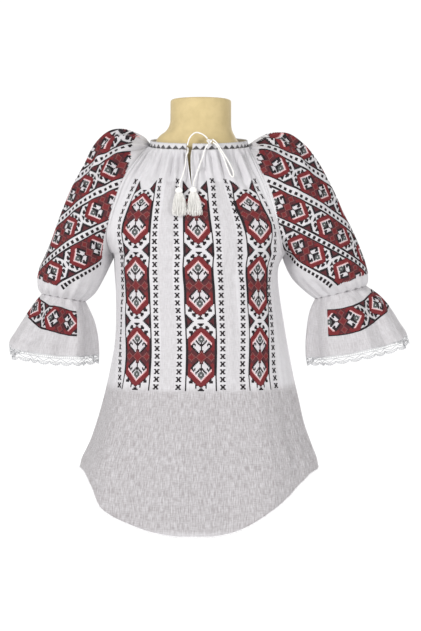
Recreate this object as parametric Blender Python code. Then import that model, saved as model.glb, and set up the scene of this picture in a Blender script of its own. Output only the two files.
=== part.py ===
"""A Romanian ie blouse, raglan cut and gathered at the neck, worn by a limbless dress form.

Sizes are in millimetres and are turned into metres where a mesh is made. The origin is under the form's foot,
+Z is up and the front of the blouse faces -Y. "left" is the side at -X.

The cloth starts as one shared surface of rows and columns. Each panel is a stretch of that surface, given a
thickness along the surface's own normals and parted from its neighbours by a seam gap.
"""

import math

import bpy
import numpy as np

MM = 0.001

CLOTH = 1.2  # thickness of the cotton walls
LACE = 1.0
BAND_THICK = 2.0
SEAM_GAP = 0.36  # between two panels' edges
LEAST_MITRE = 0.5  # a wall is at most this much the inverse longer where its edge is mitred

FRONT_COLUMNS = 36
BACK_COLUMNS = 28
SLEEVE_COLUMNS = 32
RAGLAN_ROWS = 11  # from the neck band to the underarm
BODY_ROWS = 8  # from the underarm to the hem
WRIST_ROWS = 5  # from the underarm to the gathered wrist
FLOUNCE_ROWS = 4
SLIT_ROWS = 3
SLIT_REACH = 4  # columns each side that the slit's gape pushes together
UNDERARM_STATION = 10.0
UNDERARM_HEIGHT = 520.0
ARMPIT_CREASE = 0.4  # how sharply the sleeve leaves the body at the underarm
WRIST_STATION = 14.0

NECK_CENTRE_X = -7.5
NECK_HALF_WIDTH = 92.0
NECK_FRONT = 72.0
NECK_BACK = 68.0
NECK_HEIGHT = 722.5  # under the band, at the sides
NECK_SEAT = 2.25  # the gathered cloth starts this far outside the band's middle, clear of its outer face
NECK_TILT = 12.0  # the front of the ring is this much lower, and the back this much higher
RAGLAN_FRONT = 78.0  # degrees round the neck from the centre front
RAGLAN_BACK = 120.0
CENTRE_FRONT = -10.6  # the slit sits this far round, towards the left
NECK_SPREAD = 34.0  # how the panels leave the neck ring: outwards at the sides, forwards, and down
NECK_FORWARD = 74.0
NECK_FALL = 150.0
CHEST_FALL = 190.0  # how straight down they come to the underarm's level

SLIT_WIDTH = 11.2
BAND_HEIGHT = 11.0
BAND_LEAN = 1.5  # the band's top edge is this much nearer the neck
BAND_COLUMNS = 56

BODY_ROUNDNESS = 2.25  # exponent of the body's superellipse
FORM_ROUNDNESS = 2.15
FORM_SIDES = 24

CORD_RADIUS = 1.35


class Table:
    """A short table with named columns, read smoothly along its first column."""

    def __init__(self, columns, rows):
        self.columns = columns.split()
        self.values = np.array(rows, float)

    def __call__(self, column, key):
        keys = self.values[:, 0]
        values = self.values[:, self.columns.index(column)]
        steps = np.diff(keys)
        rises = np.diff(values) / steps
        product = np.maximum(rises[:-1] * rises[1:], 0.0)
        total = rises[:-1] + rises[1:]
        inner = np.where(product > 0, 2 * product / np.where(total == 0, 1.0, total), 0.0)
        slopes = np.concatenate([[rises[0]], inner, [rises[-1]]])
        key = min(max(key, keys[0]), keys[-1])
        i = min(int(np.searchsorted(keys, key, side="right")) - 1, len(steps) - 1)
        t = (key - keys[i]) / steps[i]
        return hermite(values[i], values[i + 1], slopes[i] * steps[i], slopes[i + 1] * steps[i], t)


def hermite(start, end, leaving, arriving, t):
    """The point at t on the cubic from start to end with these two end tangents."""
    return (
        (2 * t**3 - 3 * t**2 + 1) * start
        + (t**3 - 2 * t**2 + t) * leaving
        + (3 * t**2 - 2 * t**3) * end
        + (t**3 - t**2) * arriving
    )


# Outline of the body from the underarm down: its sides as seen from the front, and its depth both ways.
BODY = Table(
    "height left right front back",
    [
        (0, -243, 222, 140, 142),
        (128, -230, 213, 134, 134),
        (169, -212, 199, 130, 128),
        (203, -200, 187, 126, 121),
        (248, -187, 177, 122, 112),
        (299, -175, 166, 118, 104),
        (355, -165, 156, 116, 99),
        (397, -162.5, 149.5, 116, 98),
        (455, -162.5, 141, 120, 102),
        (480, -164, 139, 122, 105),
        (505, -165, 142, 124, 107),
        (524, -166.5, 149.5, 124, 108),
    ],
)

# The shirt-tail hem: its height along the front and the back, against the share of the half width.
HEM_FRONT = Table(
    "side height",
    [
        (-1.0, 121),
        (-0.955, 116),
        (-0.91, 108.5),
        (-0.87, 99.5),
        (-0.83, 87),
        (-0.79, 70.5),
        (-0.74, 57),
        (-0.66, 45.5),
        (-0.58, 37.5),
        (-0.47, 29),
        (-0.35, 22),
        (-0.15, 16),
        (0.1, 15),
        (0.24, 19),
        (0.37, 29),
        (0.48, 43),
        (0.585, 58),
        (0.67, 70),
        (0.745, 82),
        (0.82, 96),
        (0.88, 107),
        (0.93, 117),
        (1.0, 124),
    ],
)
HEM_BACK = Table(
    "side height",
    [
        (-1.0, 121),
        (-0.92, 110),
        (-0.84, 88),
        (-0.74, 62),
        (-0.58, 40),
        (-0.35, 24),
        (0.0, 16),
        (0.35, 26),
        (0.6, 56),
        (0.76, 84),
        (0.88, 106),
        (1.0, 124),
    ],
)

# A sleeve's cross-sections, from the neck (station 0) to the wrist (14). Each is an ellipse in the plane of the
# outer point, the seam point and the Y direction. The raglan seam cuts it at seam_share of the way across, and
# from the underarm on (station 10) it is a whole ring.
SLEEVE_HEADINGS = "station outer_x outer_z seam_x seam_z seam_share half_depth centre_y"
SLEEVES = {
    "left": Table(
        SLEEVE_HEADINGS,
        [
            (0, -103, 741, -97, 720, 0.50, 24, 8),
            (1, -113, 752, -110, 709, 0.50, 34, 6),
            (2, -140, 756, -122, 694, 0.50, 55, 4),
            (3, -170, 751, -137, 673, 0.50, 69, 3),
            (4, -200, 724, -149, 649, 0.50, 78, 2),
            (5, -220, 687, -159, 621, 0.51, 82, 1),
            (6, -240, 652, -167, 596, 0.56, 82, 0),
            (7, -257, 613, -173, 573, 0.66, 80, 0),
            (8, -271, 577, -176.5, 552, 0.80, 77, 0),
            (9, -284, 543, -173, 534, 0.93, 72, 0),
            (10, -297, 513, -166.3, 520.5, 1.0, 68, 0),
            (11, -306, 493, -176, 497, 1.0, 67, 0),
            (12, -310, 474, -189, 472, 1.0, 64, 0),
            (13, -308, 458, -204, 449, 1.0, 52, 0),
            (14, -301, 446, -223, 432, 1.0, 33, 0),
        ],
    ),
    "right": Table(
        SLEEVE_HEADINGS,
        [
            (0, 88, 738, 82.5, 720, 0.50, 24, 8),
            (1, 100, 744, 88, 708, 0.50, 34, 6),
            (2, 124, 748, 95, 694, 0.50, 55, 4),
            (3, 155, 745, 105, 673, 0.50, 69, 3),
            (4, 188, 723, 115, 649, 0.50, 78, 2),
            (5, 210, 698, 124, 621, 0.51, 82, 1),
            (6, 230, 665, 131, 596, 0.56, 82, 0),
            (7, 248, 629, 137, 572, 0.66, 80, 0),
            (8, 264, 593, 142, 550, 0.80, 77, 0),
            (9, 280, 561, 146, 532, 0.93, 72, 0),
            (10, 294, 529, 149, 516.5, 1.0, 68, 0),
            (11, 304, 504, 156, 497, 1.0, 67, 0),
            (12, 309, 482, 168, 476, 1.0, 64, 0),
            (13, 308, 470, 190, 455, 1.0, 52, 0),
            (14, 304, 461, 213, 437, 1.0, 33, 0),
        ],
    ),
}

# The cuff flounces below the wrist (station 0) to the lace (4), and the lace's lower edge (5).
FLOUNCE_HEADINGS = "station outer_x outer_z inner_x inner_z half_depth front_dip"
FLOUNCES = {
    "left": Table(
        FLOUNCE_HEADINGS,
        [
            (0, -301, 446, -223, 432, 33, 0),
            (1, -317, 425, -213, 411, 44, 2),
            (2, -334, 399, -205, 388, 54, 4),
            (3, -350, 372, -201, 362, 62, 5),
            (4, -361, 350, -200, 335, 68, 6),
            (5, -359, 330, -201, 316, 70, 6),
        ],
    ),
    "right": Table(
        FLOUNCE_HEADINGS,
        [
            (0, 304, 461, 213, 437, 33, 0),
            (1, 331, 441, 204, 417, 44, 2),
            (2, 353, 414, 199, 390, 54, 4),
            (3, 368, 388, 197, 357, 62, 5),
            (4, 380, 368, 198, 330, 68, 6),
            (5, 385, 350, 201, 313, 70, 6),
        ],
    ),
}

# How deep the gathers are, one side of the surface, against how far down the raglan seam they lie.
NECK_GATHER = Table("down depth", [(0, 0.4), (0.08, 2.3), (0.2, 2.3), (0.33, 1.2), (0.48, 0.4), (0.62, 0), (1, 0)])
HEAD_GATHER = Table("down depth", [(0, 0.3), (0.1, 2.4), (0.3, 3.4), (0.5, 2.0), (0.75, 0.6), (1, 0)])
WRIST_GATHER = Table("station depth", [(10, 0), (11.6, 0.3), (12.6, 1.2), (13.4, 1.9), (14, 1.2)])
RUFFLE = Table("station depth", [(0, 0.0), (0.8, 2.8), (2, 4.4), (4, 7.4), (5, 7.4)])

# The long soft folds that hang from the bust to the hem: their share of the panel's half width, the height they
# start at, their depth (negative for a trough) and their width as a share.
FOLD_GROWTH = 260.0  # a fold reaches its depth this far below its top
FOLD_EDGE = 0.06  # the folds die out over this share beside the side seams
FRONT_FOLDS = [
    (-0.86, 470, -6.0, 0.07),
    (-0.62, 330, 4.5, 0.06),
    (-0.40, 380, -4.0, 0.07),
    (-0.12, 300, 4.0, 0.06),
    (0.16, 360, -4.5, 0.07),
    (0.42, 310, 4.0, 0.06),
    (0.66, 400, -5.0, 0.07),
    (0.88, 460, 4.0, 0.06),
]
BACK_FOLDS = [
    (-0.78, 440, 5.0, 0.08),
    (-0.50, 340, -5.0, 0.07),
    (-0.18, 400, 4.5, 0.08),
    (0.14, 330, -5.0, 0.07),
    (0.45, 420, 4.5, 0.08),
    (0.76, 360, -5.5, 0.08),
]

# The dress form's level sections. Its neck is 114 wide and flares further on the left, where the pose turns it.
FORM = Table(
    "height left right front back",
    [
        (50, -140, 144, 84, 90),
        (60, -148, 152, 90, 96),
        (100, -156, 160, 96, 102),
        (150, -158, 162, 97, 103),
        (200, -155, 159, 95, 102),
        (250, -146, 150, 90, 98),
        (300, -132, 136, 86, 90),
        (350, -118, 122, 84, 80),
        (390, -113, 117, 84, 76),
        (430, -115, 119, 88, 77),
        (470, -122, 126, 96, 80),
        (510, -132, 136, 104, 85),
        (550, -141, 145, 106, 88),
        (590, -148, 152, 100, 90),
        (630, -152, 156, 88, 88),
        (660, -152, 156, 77, 85),
        (680, -146, 150, 70, 81),
        (692, -124, 128, 64, 75),
        (702, -107, 107, 60, 70),
        (712, -96, 87.5, 57.5, 66),
        (722, -91, 75, 56, 62),
        (735, -87, 64, 54.5, 58.5),
        (743, -80.5, 59.3, 54, 57),
        (750, -71, 55.8, 54, 56),
        (758, -65, 53.6, 54, 56),
        (770, -61.4, 53, 54, 56),
        (810, -61, 53, 54, 56),
    ],
)
FORM_LEVELS = [50, 60, 90, 130, 180, 230, 280, 330, 380, 430, 480, 530, 575, 615, 650, 675, 692, 704, 714, 724]
FORM_LEVELS += [735, 743, 750, 758, 770, 810]

# The turned foot: radius against height.
FOOT = [(60, 0), (60, 5), (54, 10), (34, 16), (30, 40), (46, 46), (46, 49.7)]
FOOT_SIDES = 24


def section_point(centre, half_width, depth, angle, roundness):
    """A point of a level superellipse. The angle is from the front, towards +X, and depth is the one that way."""
    side, ahead = math.sin(angle), math.cos(angle)
    power = 2.0 / roundness
    x = centre + half_width * math.copysign(abs(side) ** power, side)
    return x, -depth * math.copysign(abs(ahead) ** power, ahead)


def neck_ring(degrees, outside=NECK_SEAT):
    """A point of the neck seam, at this angle from the ring's front towards +X."""
    angle = math.radians(degrees)
    depth = NECK_FRONT if math.cos(angle) > 0 else NECK_BACK
    return np.array(
        [
            NECK_CENTRE_X + (NECK_HALF_WIDTH + outside) * math.sin(angle),
            -(depth + outside) * math.cos(angle),
            NECK_HEIGHT - NECK_TILT * math.cos(angle),
        ]
    )


def body_half(height, share, facing):
    """A point of the body's front (facing 1) or back (-1), with share -1 to 1 by arc length from left to right."""
    left, right = BODY("left", height), BODY("right", height)
    depth = BODY("front" if facing > 0 else "back", height)
    centre, half_width = (left + right) / 2, (right - left) / 2
    angles = np.linspace(-math.pi / 2, math.pi / 2, 73)
    places = np.array([section_point(centre, half_width, depth, a, BODY_ROUNDNESS) for a in angles])
    run = np.concatenate([[0.0], np.cumsum(np.hypot(*np.diff(places, axis=0).T))])
    wanted = (share + 1) / 2 * run[-1]
    x, y = (np.interp(wanted, run, places[:, k]) for k in (0, 1))
    return np.array([x, facing * y, height])


def hem_height(share, facing):
    """The height of the hem at this share of the panel's half width."""
    level = 60.0
    left, right = BODY("left", level), BODY("right", level)
    side = (body_half(level, share, facing)[0] - (left + right) / 2) / ((right - left) / 2)
    return (HEM_FRONT if facing > 0 else HEM_BACK)("height", side)


def sleeve_point(side, station, turn):
    """A point of a sleeve's section, with turn -1 at the front seam, 0 at the outer point and 1 at the back seam."""
    table = SLEEVES[side]
    outer = np.array([table("outer_x", station), 0.0, table("outer_z", station)])
    seam = np.array([table("seam_x", station), 0.0, table("seam_z", station)])
    share = min(table("seam_share", station), 1.0)
    inner = outer + (seam - outer) / share
    angle = turn * math.acos(1 - 2 * share)
    from_inner = math.pi - abs(angle)
    crease = ARMPIT_CREASE * math.exp(-(((station - UNDERARM_STATION) / 0.6) ** 2) - (from_inner / 0.7) ** 2)
    across = math.cos(angle) + crease * math.sin(from_inner)
    point = (outer + inner) / 2 + (outer - inner) / 2 * across
    point[1] = table("centre_y", station) + table("half_depth", station) * math.sin(angle)
    return point


def seam_down(station):
    """How far down the raglan seam a station lies, 0 at the neck and 1 at the underarm."""
    heights = [SLEEVES["left"]("seam_z", s) for s in (0.0, station, UNDERARM_STATION)]
    return (heights[0] - heights[1]) / (heights[0] - heights[2])


def sleeve_arch(side, station, turn):
    """A sleeve's point, drawn in to the neck ring near the neck."""
    reach = 0.12
    sign = -1 if side == "left" else 1
    middle, half = (RAGLAN_FRONT + RAGLAN_BACK) / 2, (RAGLAN_BACK - RAGLAN_FRONT) / 2
    at_neck = neck_ring(sign * (middle + half * turn))
    weight = math.exp(-((seam_down(station) / reach) ** 2))
    return sleeve_point(side, station, turn) + weight * (at_neck - sleeve_point(side, 0.0, turn))


def upper_body(share, station, facing):
    """A point of the front or back panel between the neck band and the underarm."""
    down = seam_down(station)

    def column(s):
        if facing > 0:
            span = RAGLAN_FRONT - CENTRE_FRONT if s > 0 else RAGLAN_FRONT + CENTRE_FRONT
            start = neck_ring(CENTRE_FRONT + s * span)
        else:
            start = neck_ring(180 - s * (180 - RAGLAN_BACK))
        ends = [SLEEVES[k]("seam_z", UNDERARM_STATION) for k in ("left", "right")]
        end = body_half(UNDERARM_HEIGHT, s, facing)
        end[2] = ends[0] + (ends[1] - ends[0]) * (s + 1) / 2
        leaving = np.array([NECK_SPREAD * s, -NECK_FORWARD * facing * math.cos(s * 1.2), -NECK_FALL])
        return hermite(start, end, leaving, np.array([0.0, 0.0, -CHEST_FALL]), down)

    point = column(share)
    if share:
        side = "left" if share < 0 else "right"
        edge = math.copysign(1.0, share)
        seam = sleeve_arch(side, station, -facing)
        point = point + (seam - column(edge)) * abs(share) ** 3
    return point


def uneven(i, spread=0.3):
    """A steady spread of factors round 1, so that no two neighbouring folds are the same."""
    return 1 + spread * (0.6 * math.sin(2.3 * i + 0.7) + 0.4 * math.sin(5.1 * i + 1.9))


def fold_depth(folds, share, height):
    """How far the long folds push the cloth out at this place."""
    total = 0.0
    for at, top, depth, width in folds:
        grown = max(0.0, min(1.0, (top - height) / FOLD_GROWTH))
        total += depth * grown**0.8 * math.exp(-(((share - at) / width) ** 2) / 2)
    return total * min(1.0, (1 - abs(share)) / FOLD_EDGE)


class Cloth:
    """The whole garment's surface: shared points by key, and each panel's faces, wound so that they face out."""

    def __init__(self):
        self.points = {}
        self.push = {}
        self.panels = {}
        self.set_normals = {}

    def add(self, key, point, push=0.0):
        self.points[key] = np.array(point, float)
        self.push[key] = push

    def strip(self, panel, upper, lower, flip):
        """Quads between two rows of keys. Doubled keys give triangles."""
        faces = self.panels.setdefault(panel, [])
        for a, b, c, d in zip(upper, lower, lower[1:], upper[1:]):
            corners = [a, b, c, d]
            if flip:
                corners.reverse()
            face = [k for i, k in enumerate(corners) if k != corners[i - 1]]
            if len(face) > 2:
                faces.append(face)

    def panel_normals(self, panel):
        """The unit normal of one panel at each of its points."""
        sums = {}
        for face in self.panels[panel]:
            p = [self.points[k] for k in face]
            normal = np.cross(p[2] - p[0], p[-1] - p[1])
            for k in face:
                sums[k] = sums.get(k, np.zeros(3)) + normal
        return {k: n / np.linalg.norm(n) for k, n in sums.items()}

    def normals(self):
        """The unit normal at every point. On a seam it halves the angle between the panels."""
        sums = {}
        for panel in self.panels:
            for k, normal in self.panel_normals(panel).items():
                sums[k] = sums.get(k, np.zeros(3)) + normal
        found = {k: n / np.linalg.norm(n) for k, n in sums.items()}
        return {**found, **self.set_normals}

    def settle(self):
        """Moves each point out by its own push, along the smooth surface's normals."""
        normals = self.normals()
        for k, push in self.push.items():
            self.points[k] = self.points[k] + normals[k] * push

    def triangles(self, panel):
        """The panel's faces, each quad split along its shorter diagonal so that both sides of a wall agree."""
        found = []
        for face in self.panels[panel]:
            if len(face) == 4:
                p = [self.points[k] for k in face]
                if np.linalg.norm(p[0] - p[2]) > np.linalg.norm(p[1] - p[3]):
                    face = face[1:] + face[:1]
                found += [[face[0], face[1], face[2]], [face[0], face[2], face[3]]]
            else:
                found.append(face)
        return found

    def wall(self, panel, thickness):
        """Vertices and faces of a closed wall round a panel, drawn in by half the seam gap along its edges."""
        faces = self.triangles(panel)
        normals = self.normals()
        open_edges = {}
        for face in faces:
            for a, b in zip(face, face[1:] + face[:1]):
                if (b, a) in open_edges:
                    del open_edges[(b, a)]
                else:
                    open_edges[(a, b)] = True
        inward = {}
        for a, b in open_edges:
            along = self.points[b] - self.points[a]
            across = np.cross(normals[a] + normals[b], along)
            across = across / np.linalg.norm(across)
            for k in (a, b):
                inward.setdefault(k, []).append(across)
        keys = sorted({k for face in faces for k in face}, key=str)
        index = {k: i for i, k in enumerate(keys)}
        middle = np.array([self.points[k] for k in keys])
        for k, pair in inward.items():
            mean = sum(pair) / len(pair)
            middle[index[k]] += mean / max(float(mean @ mean), 0.3) * SEAM_GAP / 2
        own = self.panel_normals(panel)
        out = np.array([normals[k] / max(float(normals[k] @ own[k]), LEAST_MITRE) for k in keys]) * thickness / 2
        count = len(keys)
        vertices = np.concatenate([middle + out, middle - out])
        solid = [[index[k] for k in face] for face in faces]
        solid += [[index[k] + count for k in reversed(face)] for face in faces]
        for a, b in open_edges:
            i, j = index[a], index[b]
            if str(a) < str(b):  # the two panels on a seam split its rim along the same diagonal
                solid += [[j, i, j + count], [i, i + count, j + count]]
            else:
                solid += [[j, i, i + count], [j, i + count, j + count]]
        return vertices, solid


def material(name, colour, roughness):
    """A plain Principled material."""
    made = bpy.data.materials.new(name)
    made.use_nodes = True
    shader = made.node_tree.nodes["Principled BSDF"]
    shader.inputs["Base Color"].default_value = (*colour, 1.0)
    shader.inputs["Roughness"].default_value = roughness
    shader.inputs["Metallic"].default_value = 0.0
    return made


def add_object(name, vertices, faces, look, smooth=True):
    """A mesh object from vertices in millimetres, with flat-sided shapes kept sharp."""
    mesh = bpy.data.meshes.new(name)
    mesh.from_pydata([tuple(float(c) * MM for c in v) for v in vertices], [], faces)
    mesh.validate()
    if smooth:
        mesh.shade_smooth()
        mesh.set_sharp_from_angle(angle=math.radians(50))
    mesh.materials.append(look)
    made = bpy.data.objects.new(name, mesh)
    bpy.context.scene.collection.objects.link(made)
    return made


def body_key(panel, row, column):
    """The shared key of a point of the front or back panel: below the underarm the side seams are common."""
    last = FRONT_COLUMNS if panel == "front" else BACK_COLUMNS
    if row >= RAGLAN_ROWS and column in (0, last):
        return ("side", row, 0 if column == 0 else 1)
    return (panel, row, column)


def sleeve_key(side, row, column):
    """The shared key of a point of a sleeve: its seams are the body's, and its rings close at the underarm."""
    edge = 0 if side == "left" else 1
    if row > RAGLAN_ROWS:
        return (side, row, column % SLEEVE_COLUMNS)
    if column in (0, SLEEVE_COLUMNS):
        panel = "front" if column == 0 else "back"
        last = FRONT_COLUMNS if panel == "front" else BACK_COLUMNS
        return body_key(panel, row, edge * last)
    return (side, row, column)


def station_of(row):
    """A sleeve row's station."""
    if row <= RAGLAN_ROWS:
        return row * UNDERARM_STATION / RAGLAN_ROWS
    return UNDERARM_STATION + (row - RAGLAN_ROWS) * (WRIST_STATION - UNDERARM_STATION) / WRIST_ROWS


def lay_body(cloth, panel, facing, columns, folds):
    """The front or the back panel, from the neck band to the hem."""
    shares = [2 * c / columns - 1 for c in range(columns + 1)]
    for row in range(RAGLAN_ROWS + BODY_ROWS + 1):
        for column, share in enumerate(shares):
            if row <= RAGLAN_ROWS:
                station = station_of(row)
                point = upper_body(share, station, facing)
                beside_seam = min(min(column, columns - column) / 2, 1.0)
                push = NECK_GATHER("depth", seam_down(station)) * (-1) ** column * uneven(column) * beside_seam
            else:
                down = (row - RAGLAN_ROWS) / BODY_ROWS
                ends = [SLEEVES[k]("seam_z", UNDERARM_STATION) for k in ("left", "right")]
                top = ends[0] + (ends[1] - ends[0]) * (share + 1) / 2
                height = top + (hem_height(share, facing) - top) * down
                point = body_half(height, share, facing)
                push = fold_depth(folds, share, height)
            cloth.add(body_key(panel, row, column), point, push)
    name = "blouse_" + panel
    for row in range(RAGLAN_ROWS + BODY_ROWS):
        upper, lower = ([body_key(panel, r, c) for c in range(columns + 1)] for r in (row, row + 1))
        cloth.strip(name, upper, lower, flip=facing < 0)


def cut_slit(cloth):
    """Parts the front panel down its centre column, from the neck to the end of the slit."""
    centre = FRONT_COLUMNS // 2
    for row in range(SLIT_ROWS):
        gape = SLIT_WIDTH / 2 * (1 - row / SLIT_ROWS)
        middle = cloth.points[("front", row, centre)]
        for name, sign in (("slit_left", -1), ("slit_right", 1)):
            beside = cloth.points[("front", row, centre + sign)]
            along = (beside - middle) / np.linalg.norm(beside - middle)
            cloth.add((name, row, 0), middle + along * gape)
        for sign in (-1, 1):
            far = cloth.points[("front", row, centre + sign * SLIT_REACH)]
            for step in range(1, SLIT_REACH):
                near = ("front", row, centre + sign * step)
                lean = far - cloth.points[near]
                share = gape * (1 - step / SLIT_REACH)
                cloth.points[near] = cloth.points[near] + lean / np.linalg.norm(lean) * share
    swapped = []
    for face in cloth.panels["blouse_front"]:
        columns = [k[2] for k in face if k[0] == "front" and k[2] != centre]
        on_left = bool(columns) and max(columns) < centre
        name = "slit_left" if on_left else "slit_right"
        swapped.append(
            [(name, k[1], 0) if k[0] == "front" and k[2] == centre and k[1] < SLIT_ROWS else k for k in face]
        )
    cloth.panels["blouse_front"] = swapped
    for row in range(SLIT_ROWS):
        del cloth.points[("front", row, centre)]
        del cloth.push[("front", row, centre)]


def lay_sleeve(cloth, side):
    """A sleeve from the neck band to the wrist, after both body panels."""
    rows = RAGLAN_ROWS + WRIST_ROWS
    for row in range(rows + 1):
        station = station_of(row)
        for column in range(SLEEVE_COLUMNS + 1):
            key = sleeve_key(side, row, column)
            if key[0] != side:
                continue
            turn = 2 * column / SLEEVE_COLUMNS - 1
            if station < UNDERARM_STATION:
                point = sleeve_arch(side, station, turn)
                beside_seam = min(min(column, SLEEVE_COLUMNS - column) / 3, 1.0)
                wave = math.sin(column * math.pi / 2) * beside_seam
                push = HEAD_GATHER("depth", seam_down(station)) * wave * uneven(column // 4)
            else:
                point = sleeve_point(side, station, turn)
                push = WRIST_GATHER("depth", station) * (-1) ** column * uneven(column)
            cloth.add(key, point, push)
    for row in range(rows):
        upper, lower = ([sleeve_key(side, r, c) for c in range(SLEEVE_COLUMNS + 1)] for r in (row, row + 1))
        cloth.strip("sleeve_" + side, upper, lower, flip=side == "left")


def flounce_point(side, station, turn):
    """A point of a cuff flounce or its lace, with turn -1 to 1 once round from the inner side by the front."""
    table = FLOUNCES[side]
    outer = np.array([table("outer_x", station), 0.0, table("outer_z", station)])
    inner = np.array([table("inner_x", station), 0.0, table("inner_z", station)])
    angle = turn * math.pi
    point = (outer + inner) / 2 + (outer - inner) / 2 * math.cos(angle)
    point[1] = table("half_depth", station) * math.sin(angle)
    point[2] += table("front_dip", station) * math.sin(angle)
    return point


def ruffle_push(station, column):
    """The flounce's own waves, four columns to each."""
    return RUFFLE("depth", station) * math.sin(column * math.pi / 2 + 0.4) * uneven(column // 4 + 3)


def flounce_key(side, row, column):
    """The shared key of a point of a flounce, whose first row is the sleeve's last."""
    column = column % SLEEVE_COLUMNS
    if row == 0:
        return sleeve_key(side, RAGLAN_ROWS + WRIST_ROWS, column)
    return ("flounce_" + side, row, column)


def lay_flounce(cloth, side):
    """A cuff flounce, from the gathered wrist to the lace, after its sleeve."""
    for row in range(1, FLOUNCE_ROWS + 1):
        station = 4.0 * row / FLOUNCE_ROWS
        for column in range(SLEEVE_COLUMNS):
            point = flounce_point(side, station, 2 * column / SLEEVE_COLUMNS - 1)
            cloth.add(flounce_key(side, row, column), point, ruffle_push(station, column))
    for row in range(FLOUNCE_ROWS):
        upper, lower = ([flounce_key(side, r, c) for c in range(SLEEVE_COLUMNS + 1)] for r in (row, row + 1))
        cloth.strip("flounce_" + side, upper, lower, flip=side == "left")


# One scallop of the lace: share of its width, and share of its height from the flounce down.
LACE_PLACES = {
    "left_edge": (0.0, 0.74),
    "low_left": (0.22, 0.93),
    "tip": (0.5, 1.0),
    "low_right": (0.78, 0.93),
    "hole_left": (0.31, 0.66),
    "hole_right": (0.69, 0.66),
    "hole_top": (0.5, 0.30),
}
LACE_FACES = [
    ("top_left", "hole_top", "top_middle"),
    ("top_middle", "hole_top", "top_right"),
    ("top_left", "hole_left", "hole_top"),
    ("top_left", "left_edge", "hole_left"),
    ("left_edge", "low_left", "hole_left"),
    ("low_left", "tip", "hole_left"),
    ("hole_left", "tip", "hole_right"),
    ("tip", "low_right", "hole_right"),
    ("low_right", "right_edge", "hole_right"),
    ("right_edge", "top_right", "hole_right"),
    ("top_right", "hole_top", "hole_right"),
]


def lay_lace(cloth, side):
    """The scalloped edging, one scallop to two columns of the flounce, in a front and a back half."""
    scallops = SLEEVE_COLUMNS // 2
    for scallop in range(scallops):
        half = "front" if scallop < scallops // 2 else "back"
        keys = {
            "top_left": flounce_key(side, FLOUNCE_ROWS, 2 * scallop),
            "top_middle": flounce_key(side, FLOUNCE_ROWS, 2 * scallop + 1),
            "top_right": flounce_key(side, FLOUNCE_ROWS, 2 * scallop + 2),
            "right_edge": (side + "_lace_left_edge", (scallop + 1) % scallops, 0),
        }
        for name, (across, down) in LACE_PLACES.items():
            column = 2 * (scallop + across)
            station = 4.0 + down
            keys[name] = (side + "_lace_" + name, scallop, 0)
            point = flounce_point(side, station, 2 * column / SLEEVE_COLUMNS - 1)
            cloth.add(keys[name], point, ruffle_push(station, column))
        faces = cloth.panels.setdefault("lace_" + side + "_" + half, [])
        for corners in LACE_FACES:
            face = [keys[k] for k in corners]
            faces.append(face[::-1] if side == "left" else face)


def lay_cloth():
    """The whole garment, settled into its gathers and folds."""
    cloth = Cloth()
    lay_body(cloth, "front", 1, FRONT_COLUMNS, FRONT_FOLDS)
    lay_body(cloth, "back", -1, BACK_COLUMNS, BACK_FOLDS)
    for side in ("left", "right"):
        lay_sleeve(cloth, side)
        lay_flounce(cloth, side)
        lay_lace(cloth, side)
    for edge in (0, 1):
        cloth.set_normals[("side", RAGLAN_ROWS, edge)] = np.array([0.0, 0.0, -1.0])
    cloth.settle()
    cut_slit(cloth)
    return cloth


def lift_band(degrees, height):
    """A point of the neck band's middle surface, above the neck ring."""
    angle = math.radians(degrees)
    lean = BAND_LEAN * (height / BAND_HEIGHT)
    return neck_ring(degrees, 0.0) + np.array([-lean * math.sin(angle), lean * math.cos(angle), height])


def add_neck_band(look):
    """The narrow band that the gathers are sewn into, open at the slit."""
    half_gap = math.degrees(SLIT_WIDTH / 2 / NECK_HALF_WIDTH)
    start, end = CENTRE_FRONT + half_gap, CENTRE_FRONT + 360 - half_gap
    vertices, faces = [], []
    for column in range(BAND_COLUMNS + 1):
        degrees = start + (end - start) * column / BAND_COLUMNS
        angle = math.radians(degrees)
        out = np.array([math.sin(angle), -math.cos(angle), 0.0]) * BAND_THICK / 2
        low, high = lift_band(degrees, SEAM_GAP), lift_band(degrees, BAND_HEIGHT)
        vertices += [low + out, high + out, high - out, low - out]
    for column in range(BAND_COLUMNS):
        a, b = 4 * column, 4 * column + 4
        for i in range(4):
            j = (i + 1) % 4
            faces.append([a + i, b + i, b + j, a + j])
    faces.append([0, 1, 2, 3])
    faces.append([4 * BAND_COLUMNS + i for i in (3, 2, 1, 0)])
    add_object("neck_band", vertices, faces, look)


def smooth_route(points, step):
    """Points at an even step along a smooth curve through a cord's own points."""
    p = np.array(points, float)
    ahead = np.concatenate([p[:1] * 2 - p[1:2], p, p[-1:] * 2 - p[-2:-1]])
    fine = []
    for i in range(len(p) - 1):
        leaving = (ahead[i + 2] - ahead[i]) / 2
        arriving = (ahead[i + 3] - ahead[i + 1]) / 2
        fine += [hermite(p[i], p[i + 1], leaving, arriving, t) for t in np.arange(0, 1, 0.05)]
    fine = np.array(fine + [p[-1]])
    run = np.concatenate([[0.0], np.cumsum(np.linalg.norm(np.diff(fine, axis=0), axis=1))])
    places = np.linspace(0, run[-1], max(int(round(run[-1] / step)), 3) + 1)
    return np.stack([np.interp(places, run, fine[:, k]) for k in range(3)], axis=1)


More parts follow.
